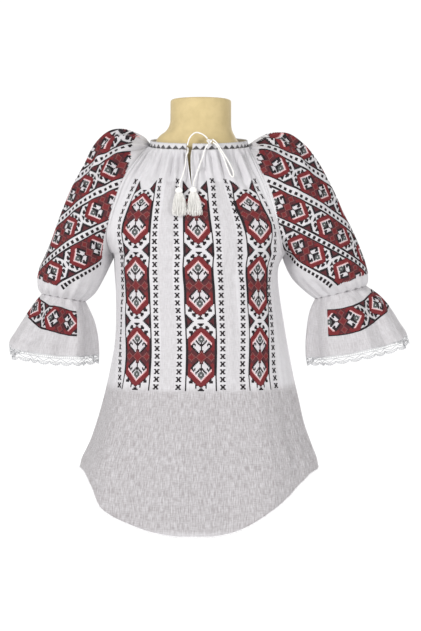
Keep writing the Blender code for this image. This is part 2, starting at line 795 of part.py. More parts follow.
# The drawstring's routes, as hand-set points in millimetres.
CORD_ROUTES = {
    "drawstring_arch": [
        (-28.2, -69.5, 718.8),
        (-26.8, -72.4, 725.0),
        (-23.5, -73.8, 733.0),
        (-17.5, -74.0, 739.5),
        (-11.3, -73.5, 742.0),
        (-3.0, -73.8, 740.0),
        (3.5, -74.8, 736.0),
        (8.7, -76.0, 730.7),
    ],
    "drawstring_bow": [
        (18.6, -77.0, 724.0),
        (26.0, -78.4, 717.0),
        (37.0, -82.0, 697.5),
        (44.5, -88.5, 677.0),
        (51.0, -93.5, 662.0),
        (55.5, -94.2, 660.5),
        (55.0, -91.2, 670.0),
        (47.5, -86.0, 687.0),
        (36.0, -81.8, 706.0),
        (25.5, -78.8, 722.5),
        (18.0, -77.2, 729.4),
    ],
    "drawstring_tail_left": [
        (-28.4, -69.9, 714.6),
        (-26.9, -74.0, 711.8),
        (-27.4, -78.6, 705.5),
        (-30.2, -82.0, 697.5),
        (-31.8, -88.6, 680.0),
        (-36.3, -97.6, 662.0),
        (-40.5, -102.6, 651.0),
        (-42.6, -107.0, 641.6),
    ],
    "drawstring_tail_right": [
        (9.2, -77.2, 720.4),
        (3.5, -80.0, 710.0),
        (0.0, -85.0, 697.5),
        (-5.5, -93.6, 681.0),
        (-11.5, -98.5, 664.0),
        (-15.5, -104.5, 651.0),
        (-16.8, -109.3, 641.8),
    ],
}
CORD_STEP = 2.6 * 2 * CORD_RADIUS


def add_cord(name, look):
    """A cord tube with filled ends along its route."""
    route = smooth_route(CORD_ROUTES[name], CORD_STEP)
    curve = bpy.data.curves.new(name, "CURVE")
    curve.dimensions = "3D"
    curve.bevel_depth = CORD_RADIUS * MM
    curve.bevel_resolution = 2
    curve.use_fill_caps = True
    spline = curve.splines.new("POLY")
    spline.points.add(len(route) - 1)
    for point, place in zip(spline.points, route):
        point.co = (*[float(c) * MM for c in place], 1.0)
    curve.materials.append(look)
    made = bpy.data.objects.new(name, curve)
    bpy.context.scene.collection.objects.link(made)


KNOT_CENTRE = (12.2, -75.6, 725.5)
KNOT_HALF_SIZE = (5.6, 4.2, 5.2)
KNOT_GROOVE = 0.13
KNOT_SIDES = 12
KNOT_RINGS = 8


def add_bow_knot(look):
    """The bow's knot: a small lump with the wrap's groove across its middle."""
    vertices, faces = [], []
    centre, half = np.array(KNOT_CENTRE), np.array(KNOT_HALF_SIZE)
    vertices.append(centre + half * (0, 0, 1))
    for ring in range(1, KNOT_RINGS):
        fall = math.pi * ring / KNOT_RINGS
        for side in range(KNOT_SIDES):
            turn = 2 * math.pi * side / KNOT_SIDES
            groove = 1 - KNOT_GROOVE * math.exp(-((math.sin(fall) * math.cos(turn) * 3) ** 2))
            place = np.array(
                [math.sin(fall) * math.cos(turn), math.sin(fall) * math.sin(turn) * groove, math.cos(fall)]
            )
            vertices.append(centre + half * place)
    vertices.append(centre - half * (0, 0, 1))
    last = len(vertices) - 1
    for side in range(KNOT_SIDES):
        following = (side + 1) % KNOT_SIDES
        faces.append([0, 1 + side, 1 + following])
        for ring in range(KNOT_RINGS - 2):
            a = 1 + ring * KNOT_SIDES
            b = a + KNOT_SIDES
            faces.append([a + side, b + side, b + following, a + following])
        a = 1 + (KNOT_RINGS - 2) * KNOT_SIDES
        faces.append([a + side, last, a + following])
    add_object("bow_knot", vertices, faces, look)


# Each tassel: the middle of its root, how far its strands spread each way at the bottom, their length, and how far
# the skirt leans sideways and forwards where it lies on the sloping chest.
TASSELS = {
    "tassel_left": {"root": (-42.8, -108.0, 629.0), "spread": (10.5, 3.6), "drop": 43.0, "lean": (-2.0, -12.0)},
    "tassel_right": {"root": (-16.9, -110.4, 629.5), "spread": (12.0, 3.6), "drop": 44.0, "lean": (7.0, -11.5)},
}
TASSEL_CELLS = (6, 3)
TASSEL_ROOT = (6.0, 3.6)  # half width and half depth where the strands start
STRAND_INSET = 0.28  # a strand is this share smaller than its cell of the root
STRAND_RINGS = ((0.35, 0.9), (1.0, 0.8))  # share of the way down, and thickness over the strand's start
STRAND_BOW = 0.7  # under 1, the strands spread early and then hang
TASSEL_HEAD = [(1.5, 1.06), (4.5, 1.12), (7.5, 0.95), (9.3, 0.62), (11.3, 0.44)]  # height and size over the root


def add_tassel(name, look):
    """A tassel: a wrapped head over a skirt of separate strands that grow out of its underside."""
    form = TASSELS[name]
    root = np.array(form["root"])
    across, deep = TASSEL_CELLS

    def disc(s, t, half):
        return (half[0] * s * math.sqrt(1 - t * t / 2), half[1] * t * math.sqrt(1 - s * s / 2))

    vertices, faces, at = [], [], {}
    for i in range(across + 1):
        for j in range(deep + 1):
            x, y = disc(2 * i / across - 1, 2 * j / deep - 1, TASSEL_ROOT)
            at[i, j] = len(vertices)
            vertices.append(root + (x, y, 0.0))
    for i in range(across):
        for j in range(deep):
            corners = [at[i, j], at[i, j + 1], at[i + 1, j + 1], at[i + 1, j]]
            middle = sum(vertices[k] for k in corners) / 4
            shrunk = [vertices[k] + (middle - vertices[k]) * STRAND_INSET for k in corners]
            rings = [corners, list(range(len(vertices), len(vertices) + 4))]
            vertices += shrunk
            x, y = disc((2 * i + 1) / across - 1, (2 * j + 1) / deep - 1, form["spread"])
            drop = form["drop"] * uneven(3 * i + 7 * j, 0.025)
            foot = root + (x + form["lean"][0], y + form["lean"][1], -drop)
            for down, size in STRAND_RINGS:
                bow = down**STRAND_BOW
                centre = middle + (foot - middle) * (bow, bow, down)
                rings.append(list(range(len(vertices), len(vertices) + 4)))
                vertices += [centre + (corner - middle) * size for corner in shrunk]
            for upper, lower in zip(rings, rings[1:]):
                faces += [[upper[k], upper[(k + 1) % 4], lower[(k + 1) % 4], lower[k]] for k in range(4)]
            faces.append(rings[-1])
    rim = [at[i, 0] for i in range(across)] + [at[across, j] for j in range(deep)]
    rim += [at[i, deep] for i in range(across, 0, -1)] + [at[0, j] for j in range(deep, 0, -1)]
    below = rim
    for height, size in TASSEL_HEAD:
        above = list(range(len(vertices), len(vertices) + len(rim)))
        vertices += [root + (vertices[k] - root) * (size, size, 0) + (0, 0, height) for k in rim]
        faces += [[a, b, d, c] for a, b, c, d in zip(below, below[1:] + below[:1], above, above[1:] + above[:1])]
        below = above
    faces.append(below)
    add_object(name, vertices, faces, look)


def add_dress_form(look):
    """The limbless torso and neck, as level sections with a cap at each end."""
    vertices, faces = [], []
    for height in FORM_LEVELS:
        for side in range(FORM_SIDES):
            angle = 2 * math.pi * side / FORM_SIDES
            depth = FORM("front" if math.cos(angle) > 0 else "back", height)
            left, right = FORM("left", height), FORM("right", height)
            x, y = section_point((left + right) / 2, (right - left) / 2, depth, angle, FORM_ROUNDNESS)
            vertices.append((x, y, height))
    for level in range(len(FORM_LEVELS) - 1):
        for side in range(FORM_SIDES):
            following = (side + 1) % FORM_SIDES
            a, b = level * FORM_SIDES, (level + 1) * FORM_SIDES
            faces.append([a + side, a + following, b + following, b + side])
    faces.append(list(range(FORM_SIDES))[::-1])
    top = (len(FORM_LEVELS) - 1) * FORM_SIDES
    faces.append(list(range(top, top + FORM_SIDES)))
    add_object("dress_form", vertices, faces, look)


def add_form_base(look):
    """The turned foot under the form."""
    vertices, faces = [], []
    for radius, height in FOOT:
        for side in range(FOOT_SIDES):
            turn = 2 * math.pi * side / FOOT_SIDES
            vertices.append((radius * math.cos(turn), radius * math.sin(turn), height))
    for level in range(len(FOOT) - 1):
        for side in range(FOOT_SIDES):
            following = (side + 1) % FOOT_SIDES
            a, b = level * FOOT_SIDES, (level + 1) * FOOT_SIDES
            faces.append([a + side, a + following, b + following, b + side])
    faces.append(list(range(FOOT_SIDES))[::-1])
    top = (len(FOOT) - 1) * FOOT_SIDES
    faces.append(list(range(top, top + FOOT_SIDES)))
    add_object("form_base", vertices, faces, look)


def main():
    """Clears the scene and builds every piece."""
    for old in list(bpy.data.objects):
        bpy.data.objects.remove(old)
    cotton = material("white_cotton", (0.80, 0.79, 0.77), 0.85)
    lace = material("white_lace", (0.86, 0.85, 0.83), 0.85)
    band = material("band_cotton", (0.78, 0.77, 0.76), 0.85)
    thread = material("cream_cord", (0.84, 0.81, 0.74), 0.8)
    jersey = material("beige_form", (0.60, 0.49, 0.26), 0.6)
    turned = material("foot", (0.12, 0.11, 0.10), 0.5)
    cloth = lay_cloth()
    for panel in cloth.panels:
        is_lace = panel.startswith("lace")
        vertices, faces = cloth.wall(panel, LACE if is_lace else CLOTH)
        add_object(panel, vertices, faces, lace if is_lace else cotton)
    add_neck_band(band)
    for name in CORD_ROUTES:
        add_cord(name, thread)
    add_bow_knot(thread)
    for name in TASSELS:
        add_tassel(name, thread)
    add_dress_form(jersey)
    add_form_base(turned)


main()
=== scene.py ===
# %% [markdown]
# # A Romanian ie blouse on a dress form
# This lesson dresses a plain set of solids as a real folk blouse: white cotton gathered into a neck band,
# red and black cross-stitch, lace at the cuffs, and a tasselled drawstring. The solids give the size and
# the place of every piece. They are opened here as a fixed frame, and finer pieces are made over them.

# %% Open the frame
import math
from functools import lru_cache

import bpy
import numpy as np
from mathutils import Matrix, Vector
from mathutils.bvhtree import BVHTree


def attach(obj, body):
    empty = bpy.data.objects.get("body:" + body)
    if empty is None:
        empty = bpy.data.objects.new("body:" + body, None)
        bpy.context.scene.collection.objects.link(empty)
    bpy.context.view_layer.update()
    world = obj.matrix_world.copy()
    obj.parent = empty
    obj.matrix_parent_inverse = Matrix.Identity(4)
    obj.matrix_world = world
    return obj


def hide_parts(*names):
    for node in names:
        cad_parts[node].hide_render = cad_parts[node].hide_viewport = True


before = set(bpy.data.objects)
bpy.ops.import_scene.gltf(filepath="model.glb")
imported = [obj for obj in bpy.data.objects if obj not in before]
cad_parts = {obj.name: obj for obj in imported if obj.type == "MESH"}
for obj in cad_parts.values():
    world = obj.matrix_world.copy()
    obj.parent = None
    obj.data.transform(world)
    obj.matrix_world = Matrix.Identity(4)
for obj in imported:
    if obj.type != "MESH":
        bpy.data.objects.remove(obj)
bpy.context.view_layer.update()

MM = 0.001

# %% [markdown]
# ## Camera, floor and light
# A catalogue picture of a garment is taken from far off with a long lens, level with the bust, so that
# nothing bulges. The lens here is level and its frame is shifted down to take in the hem. The floor and the
# back wall glow white, and three large soft lamps stand to the left, to the right and behind, so that only
# pale grey shade is left in the folds.

# %% Camera
CAMERA_DISTANCE = 2.6
CAMERA_HEIGHT = 0.5
FRAME_HEIGHT = 1.186  # metres that the picture is tall, at the form's middle
FRAME_CENTRE = (0.0141, 0.4051)
SENSOR = 36.0

lens = bpy.data.cameras.new("camera")
lens.sensor_width = SENSOR
lens.lens = SENSOR * CAMERA_DISTANCE / FRAME_HEIGHT
lens.shift_y = (FRAME_CENTRE[1] - CAMERA_HEIGHT) / FRAME_HEIGHT
camera = bpy.data.objects.new("camera", lens)
camera.location = (FRAME_CENTRE[0], -CAMERA_DISTANCE, CAMERA_HEIGHT)
camera.rotation_euler = (math.pi / 2, 0, 0)
bpy.context.scene.collection.objects.link(camera)
bpy.context.scene.camera = camera
bpy.context.scene.view_settings.view_transform = "Standard"
print("lens:", round(lens.lens, 1), "mm")


# %% Floor, back wall and lamps
BLOUSE_MIDDLE = Vector((0.0, 0.0, 0.42))
ROOM_HALF = 4.0  # metres from the middle to the floor's edge, and the height of the wall
ROOM_LIGHT = 0.55
WHITE = (1.0, 1.0, 1.0, 1.0)

backdrop_look = bpy.data.materials.new("floor")
backdrop_look.use_nodes = True
backdrop_inputs = backdrop_look.node_tree.nodes["Principled BSDF"].inputs
backdrop_inputs["Base Color"].default_value = (0.02, 0.02, 0.02, 1.0)
backdrop_inputs["Roughness"].default_value = 0.9
backdrop_inputs["Emission Color"].default_value = WHITE
backdrop_inputs["Emission Strength"].default_value = 1.0


def add_backdrop(name, corners):
    """A square of the room that glows white. It isn't part of the object."""
    mesh = bpy.data.meshes.new(name)
    mesh.from_pydata([tuple(ROOM_HALF * c for c in corner) for corner in corners], [], [(0, 1, 2, 3)])
    mesh.materials.append(backdrop_look)
    square = bpy.data.objects.new(name, mesh)
    bpy.context.scene.collection.objects.link(square)


def add_lamp(name, place, size, power):
    """A large soft round lamp that faces the blouse."""
    light = bpy.data.lights.new(name, "AREA")
    light.shape = "DISK"
    light.size = size
    light.energy = power
    lamp = bpy.data.objects.new(name, light)
    lamp.location = place
    lamp.rotation_euler = (BLOUSE_MIDDLE - lamp.location).to_track_quat("-Z", "Y").to_euler()
    bpy.context.scene.collection.objects.link(lamp)


add_backdrop("floor", [(-1, -1, 0), (1, -1, 0), (1, 1, 0), (-1, 1, 0)])
add_backdrop("back_wall", [(-1, 1, 0), (1, 1, 0), (1, 1, 1), (-1, 1, 1)])
add_lamp("lamp_left", (-2.0, -2.2, 1.6), 0.7, 60.0)
add_lamp("lamp_right", (1.7, -2.3, 0.5), 0.9, 30.0)
add_lamp("lamp_behind", (0.9, 2.4, 2.3), 0.9, 34.0)
room = bpy.data.worlds.new("room")
room.use_nodes = True
room.node_tree.nodes["Background"].inputs["Color"].default_value = WHITE
room.node_tree.nodes["Background"].inputs["Strength"].default_value = ROOM_LIGHT
bpy.context.scene.world = room
print("lamps: 3, room light:", ROOM_LIGHT)

# %% [markdown]
# ## Effects that several materials share
# Cotton, lace, thread and jersey are all made of spun fibre, so they share a few effects: a plain weave with
# the long streaks of a slubby yarn, a soft mottle, the fine fuzz of thread and the raised cross of a stitch.
# Each effect is built once as a node group and gives only a value or a colour that varies over the surface.

# %% A small helper for node graphs
class Graph:
    """Nodes of one tree, added from left to right."""

    def __init__(self, tree):
        self.tree = tree
        self.count = 0

    def add(self, kind, values=None, links=None, **settings):
        """Adds a node, sets it up, and links outputs of other nodes to its inputs."""
        node = self.tree.nodes.new(kind)
        node.location = (220 * self.count, -40 * (self.count % 5))
        self.count += 1
        for key, value in settings.items():
            setattr(node, key, value)
        for key, value in (values or {}).items():
            node.inputs[key].default_value = value
        for key, (source, output) in (links or {}).items():
            self.tree.links.new(source.outputs[output], node.inputs[key])
        return node


def new_effect(name, inputs, outputs):
    """An empty node group with named inputs (socket type and default) and outputs (socket type)."""
    tree = bpy.data.node_groups.new(name, "ShaderNodeTree")
    for label, (kind, value) in inputs.items():
        socket = tree.interface.new_socket(label, in_out="INPUT", socket_type=kind)
        if value is not None:
            socket.default_value = value
    for label, kind in outputs.items():
        tree.interface.new_socket(label, in_out="OUTPUT", socket_type=kind)
    graph = Graph(tree)
    return graph, graph.add("NodeGroupInput"), tree


FLOAT, COLOUR, VECTOR = "NodeSocketFloat", "NodeSocketColor", "NodeSocketVector"


def maths(graph, operation, first, second=None, third=None):
    """A maths node on outputs or plain numbers."""
    node = graph.add("ShaderNodeMath", operation=operation)
    for place, item in enumerate((first, second, third)):
        if isinstance(item, tuple):
            graph.tree.links.new(item[0].outputs[item[1]], node.inputs[place])
        elif item is not None:
            node.inputs[place].default_value = item
    return node, 0


def noise(graph, place, links=None, **values):
    """Fractal noise at a place."""
    return graph.add("ShaderNodeTexNoise", values, {"Vector": place, **(links or {})}), 0


def stretched_range(graph, value, low, high, to_low=0.0, to_high=1.0):
    """A value between two limits, stretched to lie between two others."""
    limits = {"From Min": low, "From Max": high, "To Min": to_low, "To Max": to_high}
    return graph.add("ShaderNodeMapRange", limits, {"Value": value}), 0


# %% Plain weave: crossing threads, uneven in weight
def weave_effect():
    """Height of a plain weave from flat cloth coordinates in metres, with slubs in the yarn."""
    graph, given, tree = new_effect(
        "plain weave", {"Flat": (VECTOR, None), "Threads per metre": (FLOAT, 1800.0), "Slub": (FLOAT, 0.5)},
        {"Height": FLOAT, "Thin": FLOAT}
    )
    scaled = graph.add(
        "ShaderNodeVectorMath", operation="SCALE",
        links={0: (given, "Flat"), "Scale": (given, "Threads per metre")}
    )
    parts = graph.add("ShaderNodeSeparateXYZ", links={0: (scaled, 0)})
    warp = maths(graph, "SINE", maths(graph, "MULTIPLY", (parts, 0), math.pi))
    weft = maths(graph, "SINE", maths(graph, "MULTIPLY", (parts, 1), math.pi))
    cross = maths(graph, "MULTIPLY", warp, weft)
    yarns = []
    for stretch in ((700.0, 70.0, 200.0), (110.0, 600.0, 200.0)):  # slubs one way, then the other
        drawn = graph.add("ShaderNodeMapping", values={"Scale": stretch}, links={"Vector": (given, "Flat")})
        yarns.append(noise(graph, (drawn, 0), Scale=1.0, Detail=3.0))
    both = maths(graph, "MULTIPLY_ADD", yarns[1], 0.5, yarns[0])
    weighted = maths(graph, "MULTIPLY", both, (given, "Slub"))
    height = maths(graph, "MULTIPLY_ADD", cross, 0.25, weighted)
    graph.add("NodeGroupOutput", links={"Height": height, "Thin": both})
    return tree


# %% Mottle: soft uneven tone in washed cotton
def mottle_effect():
    """A soft mix of two tones at a chosen size, from a position in metres."""
    graph, given, tree = new_effect(
        "mottle",
        {
            "Place": (VECTOR, None), "Size": (FLOAT, 0.03), "Tone": (COLOUR, (1, 1, 1, 1)),
            "Second tone": (COLOUR, (0.9, 0.9, 0.9, 1))
        },
        {"Colour": COLOUR, "Mask": FLOAT}
    )
    scale = maths(graph, "DIVIDE", 1.0, (given, "Size"))
    patches = noise(graph, (given, "Place"), {"Scale": scale}, Detail=4.0, Roughness=0.6)
    mask = stretched_range(graph, patches, 0.35, 0.65)
    mixed = graph.add(
        "ShaderNodeMix", data_type="RGBA",
        links={"Factor": mask, 6: (given, "Tone"), 7: (given, "Second tone")}
    )
    graph.add("NodeGroupOutput", links={"Colour": (mixed, 2), "Mask": mask})
    return tree


# %% Fibre: the fine fuzz of a spun thread
def twist_effect():
    """Height of the fine loose fibres of a thread, from a position in metres."""
    graph, given, tree = new_effect(
        "fibre", {"Place": (VECTOR, None), "Fineness": (FLOAT, 1500.0)}, {"Height": FLOAT}
    )
    fibres = noise(graph, (given, "Place"), {"Scale": (given, "Fineness")}, Detail=2.0)
    graph.add("NodeGroupOutput", links={"Height": fibres})
    return tree


# %% Cross-stitch: two crossing threads in every cell
def stitch_effect():
    """Height and wear of a cross-stitch, from coordinates that count one for each cell."""
    graph, given, tree = new_effect(
        "cross stitch", {"Cells": (VECTOR, None)}, {"Height": FLOAT, "Wear": FLOAT}
    )
    parts = graph.add("ShaderNodeSeparateXYZ", links={0: (given, "Cells")})
    legs = []
    for way in ("ADD", "SUBTRACT"):  # the lower thread leans one way, the upper one the other
        across = maths(graph, "MULTIPLY", maths(graph, way, (parts, 0), (parts, 1)), math.pi)
        legs.append(maths(graph, "ABSOLUTE", maths(graph, "COSINE", across)))
    crossed = maths(graph, "MAXIMUM", maths(graph, "MULTIPLY", legs[0], 0.8), legs[1])
    fuzz = noise(graph, (given, "Cells"), Scale=3.0, Detail=3.0)
    height = maths(graph, "MULTIPLY_ADD", fuzz, 0.35, crossed)
    patches = noise(graph, (given, "Cells"), Scale=0.35, Detail=4.0)
    wear = maths(graph, "MULTIPLY_ADD", patches, 0.7, maths(graph, "MULTIPLY", fuzz, 0.3))
    graph.add("NodeGroupOutput", links={"Height": height, "Wear": wear})
    return tree


effects = {
    "weave": weave_effect(), "mottle": mottle_effect(), "fibre": twist_effect(), "stitch": stitch_effect()
}
print("shared effects:", list(effects))

# %% [markdown]
# ## The materials
# White cotton shows its weave as a faint relief, pale slubs and a cooler tone where it is thin. Thread has a
# soft mottle and a relief of fine fibres, and cross-stitch is dulled a little where it was washed. The form
# is covered in a beige jersey with a fine knit. Every material takes its relief from fibre, weave or even
# lines, and keeps its own colours.

# %% Materials for cloth, lace and thread
def new_look(name, roughness, sheen=0.0):
    """A material with its graph and its Principled node."""
    look = bpy.data.materials.new(name)
    look.use_nodes = True
    shader = look.node_tree.nodes["Principled BSDF"]
    shader.inputs["Roughness"].default_value = roughness
    shader.inputs["Sheen Weight"].default_value = sheen
    shader.inputs["Specular IOR Level"].default_value = 0.25
    return look, Graph(look.node_tree), shader


def relief(graph, shader, height, distance, strength):
    """Links a height to the shader's normal."""
    bump = graph.add(
        "ShaderNodeBump", values={"Distance": distance, "Strength": strength}, links={"Height": height}
    )
    graph.tree.links.new(bump.outputs["Normal"], shader.inputs["Normal"])


def mottled(graph, shader, source, size, tone, second):
    """Colours the shader with a mottle of two tones, read at the source's places in metres."""
    values = {"Size": size, "Tone": (*tone, 1), "Second tone": (*second, 1)}
    mottle = graph.add("ShaderNodeGroup", values, {"Place": source}, node_tree=effects["mottle"])
    graph.tree.links.new(mottle.outputs["Colour"], shader.inputs["Base Color"])
    return mottle


def blended(graph, shader, factor, first, second):
    """Colours the shader with a node's colour, turned towards a second tone by a factor."""
    mix = graph.add(
        "ShaderNodeMix", values={7: (*second, 1)}, links={"Factor": factor, 6: first}, data_type="RGBA"
    )
    graph.tree.links.new(mix.outputs[2], shader.inputs["Base Color"])


def cotton_look(name, tone, thin_and_shade_tone, slub, distance):
    """White woven cotton. The flat cloth coordinates give the weave, and "sheer" says where it is thin. On the
    flounces it is set high, so that the grey thin tone also paints the shade in them.
    """
    look, graph, shader = new_look(name, 0.88, sheen=0.25)
    flat = graph.add("ShaderNodeAttribute", attribute_name="flat")
    sheer = graph.add("ShaderNodeAttribute", attribute_name="sheer")
    weave = graph.add(
        "ShaderNodeGroup", {"Slub": slub}, {"Flat": (flat, "Vector")}, node_tree=effects["weave"]
    )
    mottle = mottled(graph, shader, (flat, "Vector"), 0.012, tone, [0.95 * c for c in tone])
    streaks = stretched_range(graph, (weave, "Thin"), 0.58, 0.92, 0.35)
    thin = maths(graph, "MULTIPLY", streaks, (sheer, "Fac"))
    blended(graph, shader, thin, (mottle, "Colour"), thin_and_shade_tone)
    relief(graph, shader, (weave, "Height"), distance, 0.6)
    return look


def thread_look(name, tone, second, fineness, distance=0.0003, sheen=0.3):
    """Spun thread: a soft mottle of two tones and a fine relief of fibres."""
    look, graph, shader = new_look(name, 0.8, sheen=sheen)
    place = graph.add("ShaderNodeTexCoord"), "Object"
    mottled(graph, shader, place, 0.006, tone, second)
    fibre = graph.add("ShaderNodeGroup", {"Fineness": fineness}, {"Place": place}, node_tree=effects["fibre"])
    relief(graph, shader, (fibre, "Height"), distance, 0.7)
    return look


WEAR_AT_MOST = 0.08


def stitch_look():
    """Cross-stitch in coloured thread. The cells' own colour is dulled a little where it was washed."""
    look, graph, shader = new_look("cross-stitch thread", 0.8)
    thread = graph.add("ShaderNodeAttribute", attribute_name="thread")
    cells = graph.add("ShaderNodeAttribute", attribute_name="cells")
    stitch = graph.add("ShaderNodeGroup", node_tree=effects["stitch"], links={"Cells": (cells, "Vector")})
    wear = stretched_range(graph, (stitch, "Wear"), 0.3, 0.7, 0.0, WEAR_AT_MOST)
    blended(graph, shader, wear, (thread, "Color"), (0.40, 0.30, 0.31))
    shader.inputs["Specular IOR Level"].default_value = 0.2
    relief(graph, shader, (stitch, "Height"), 0.0005, 0.8)
    return look


looks = {
    "cotton": cotton_look("woven cotton", (0.63, 0.618, 0.635), (0.29, 0.268, 0.272), 0.6, 0.0005),
    "band": cotton_look("band cotton", (0.60, 0.59, 0.60), (0.46, 0.45, 0.46), 0.3, 0.0003),
    "lace": thread_look("lace thread", (0.56, 0.56, 0.575), (0.46, 0.465, 0.48), 1400.0),
    "cord": thread_look("cream cord", (0.90, 0.885, 0.86), (0.80, 0.785, 0.75), 1200.0),
    "black": thread_look("black thread", (0.006, 0.005, 0.008), (0.018, 0.015, 0.02), 900.0, sheen=0.0),
    "seam": thread_look("sewing thread", (0.78, 0.77, 0.78), (0.70, 0.69, 0.70), 1600.0, 0.0002),
    "stitch": stitch_look()
}
print("materials:", sorted(looks))


# %% Materials for the form and its foot
def lined_look(name, roughness, sheen, size, tones, lines, strength, **kind):
    """Two mottled tones under fine even lines: the wales of a knit, or the rings that a lathe leaves."""
    look, graph, shader = new_look(name, roughness, sheen=sheen)
    place = graph.add("ShaderNodeTexCoord"), "Object"
    mottled(graph, shader, place, size, *tones)
    waves = graph.add("ShaderNodeTexWave", values=lines, links={"Vector": place}, **kind)
    relief(graph, shader, (waves, 1), 0.0002, strength)
    return look


JERSEY_TONES = (0.56, 0.445, 0.23), (0.50, 0.395, 0.20)
JERSEY_WALES = {"Scale": 260.0, "Distortion": 0.6, "Detail": 1.0}
WOOD_TONES = (0.030, 0.027, 0.025), (0.055, 0.048, 0.042)
WOOD_RINGS = {"Scale": 120.0, "Distortion": 0.4}
looks["jersey"] = lined_look("beige jersey", 0.62, 0.15, 0.02, JERSEY_TONES, JERSEY_WALES, 0.35)
looks["foot"] = lined_look(
    "painted foot", 0.45, 0.0, 0.03, WOOD_TONES, WOOD_RINGS, 0.3, wave_type="RINGS", rings_direction="Z"
)
print("materials:", len(looks))

# %% [markdown]
# ## The drawstring
# The drawstring is a twisted cotton cord about three millimetres thick. It comes out of the band at the
# slit, ties in a bow on the right and ends in two tassels. Three plies are swept here along the cord's own
# smooth route, and each winds round the middle, which gives the rope its slanted ribs.

# %% The cord's routes and plies
CORD_DIAMETER = 2.7
PLIES = 3
PLY_SIDES = 7
LAY_LENGTH = 9.0  # millimetres for one turn of the plies
PLY_SHARE = 1 / 2.1  # of the cord's own radius
ROUTE_STEP = 0.9
FIRST_SIDE = (0.31, 0.87, 0.37)  # a direction that no thread starts along


def read_points(text):
    """Places in millimetres (x, y, z) from plain text, with a comma after each."""
    return np.array(text.replace(",", " ").split(), float).reshape(-1, 3)


CORD_ROUTES = {
    "drawstring_arch": read_points("""
-28.2 -69.5 718.8, -26.8 -72.4 725.0, -23.5 -73.8 733.0, -17.5 -74.0 739.5, -11.3 -73.5 742.0,
-3.0 -73.8 740.0, 3.5 -74.8 736.0, 8.7 -76.0 730.7
"""),
    "drawstring_bow": read_points("""
18.6 -77.0 724.0, 26.0 -78.4 717.0, 37.0 -82.0 697.5, 44.5 -88.5 677.0, 51.0 -93.5 662.0, 55.5 -94.2 660.5,
55.0 -91.2 670.0, 47.5 -86.0 687.0, 36.0 -81.8 706.0, 25.5 -78.8 722.5, 18.0 -77.2 729.4
"""),
    "drawstring_tail_left": read_points("""
-28.4 -69.9 714.6, -26.9 -74.0 711.8, -27.4 -78.6 705.5, -30.2 -82.0 697.5, -31.8 -88.6 680.0,
-36.3 -97.6 662.0, -40.5 -102.6 651.0, -42.6 -107.0 641.6
"""),
    "drawstring_tail_right": read_points("""
9.2 -77.2 720.4, 3.5 -80.0 710.0, 0.0 -85.0 697.5, -5.5 -93.6 681.0, -11.5 -98.5 664.0, -15.5 -104.5 651.0,
-16.8 -109.3 641.8
"""),
}


def hermite(start, end, leaving, arriving, t):
    """The point at t on the cubic from start to end with these two end tangents."""
    near = (2 * t**3 - 3 * t**2 + 1) * start + (t**3 - 2 * t**2 + t) * leaving
    return near + (3 * t**2 - 2 * t**3) * end + (t**3 - t**2) * arriving


def run_along(points):
    """The distance run along a line of points, at each of them."""
    return np.concatenate([[0.0], np.cumsum(np.linalg.norm(np.diff(points, axis=0), axis=1))])


def spaced(points, places):
    """Points at these distances along a line of points."""
    run = run_along(points)
    return np.stack([np.interp(places, run, points[:, k]) for k in range(3)], axis=1)


def smooth_route(points, step):
    """Points at an even step along a smooth curve through a cord's own points."""
    p = np.array(points, float)
    ahead = np.concatenate([p[:1] * 2 - p[1:2], p, p[-1:] * 2 - p[-2:-1]])
    fine = []
    for i in range(len(p) - 1):
        leaving = (ahead[i + 2] - ahead[i]) / 2
        arriving = (ahead[i + 3] - ahead[i + 1]) / 2
        fine += [hermite(p[i], p[i + 1], leaving, arriving, t) for t in np.arange(0, 1, 0.05)]
    fine = np.array(fine + [p[-1]])
    length = run_along(fine)[-1]
    return spaced(fine, np.linspace(0, length, max(int(round(length / step)), 3) + 1))


def carried_frame(path):
    """Two unit directions across a path at each point, carried along it without twisting."""
    tangents = np.gradient(path, axis=0)
    tangents /= np.linalg.norm(tangents, axis=1, keepdims=True)
    side = np.array(FIRST_SIDE)
    sides = []
    for tangent in tangents:
        side = side - tangent * (side @ tangent)
        side = side / np.linalg.norm(side)
        sides.append(side)
    sides = np.array(sides)
    return sides, np.cross(tangents, sides)


def grid_faces(rows, columns, closed=False):
    """Quads over a net of rows and columns, numbered row by row."""
    across = columns if closed else columns - 1
    r, c = np.meshgrid(np.arange(rows - 1), np.arange(across), indexing="ij")
    a, b = r * columns + c, r * columns + (c + 1) % columns
    return np.stack([a, a + columns, b + columns, b], 2).reshape(-1, 4)


def skin_faces(rings, sides):
    """Faces of a closed skin through rings of points, with one face over each end."""
    faces = [tuple(f[::-1]) for f in grid_faces(rings, sides, closed=True)]
    return faces + [tuple(range(sides))[::-1], tuple(range((rings - 1) * sides, rings * sides))]


def tube_parts(path, radius, sides):
    """Vertices and faces of a round tube with closed ends. The radius is one number or one for each point."""
    path = np.asarray(path, float)
    radius = np.broadcast_to(np.asarray(radius, float), (len(path),))
    one, two = carried_frame(path)
    turns = np.linspace(0, 2 * math.pi, sides, endpoint=False)
    ring = np.cos(turns)[None, :, None] * one[:, None] + np.sin(turns)[None, :, None] * two[:, None]
    return (path[:, None] + ring * radius[:, None, None]).reshape(-1, 3), skin_faces(len(path), sides)


def joined(parts):
    """Joins parts, each a list of vertices and faces that count from zero."""
    vertices, faces, start = [], [], 0
    for part, quads in parts:
        vertices.append(np.asarray(part, float))
        faces += [tuple(int(k) + start for k in face) for face in quads]
        start += len(part)
    return np.concatenate(vertices), faces


made_triangles = {}


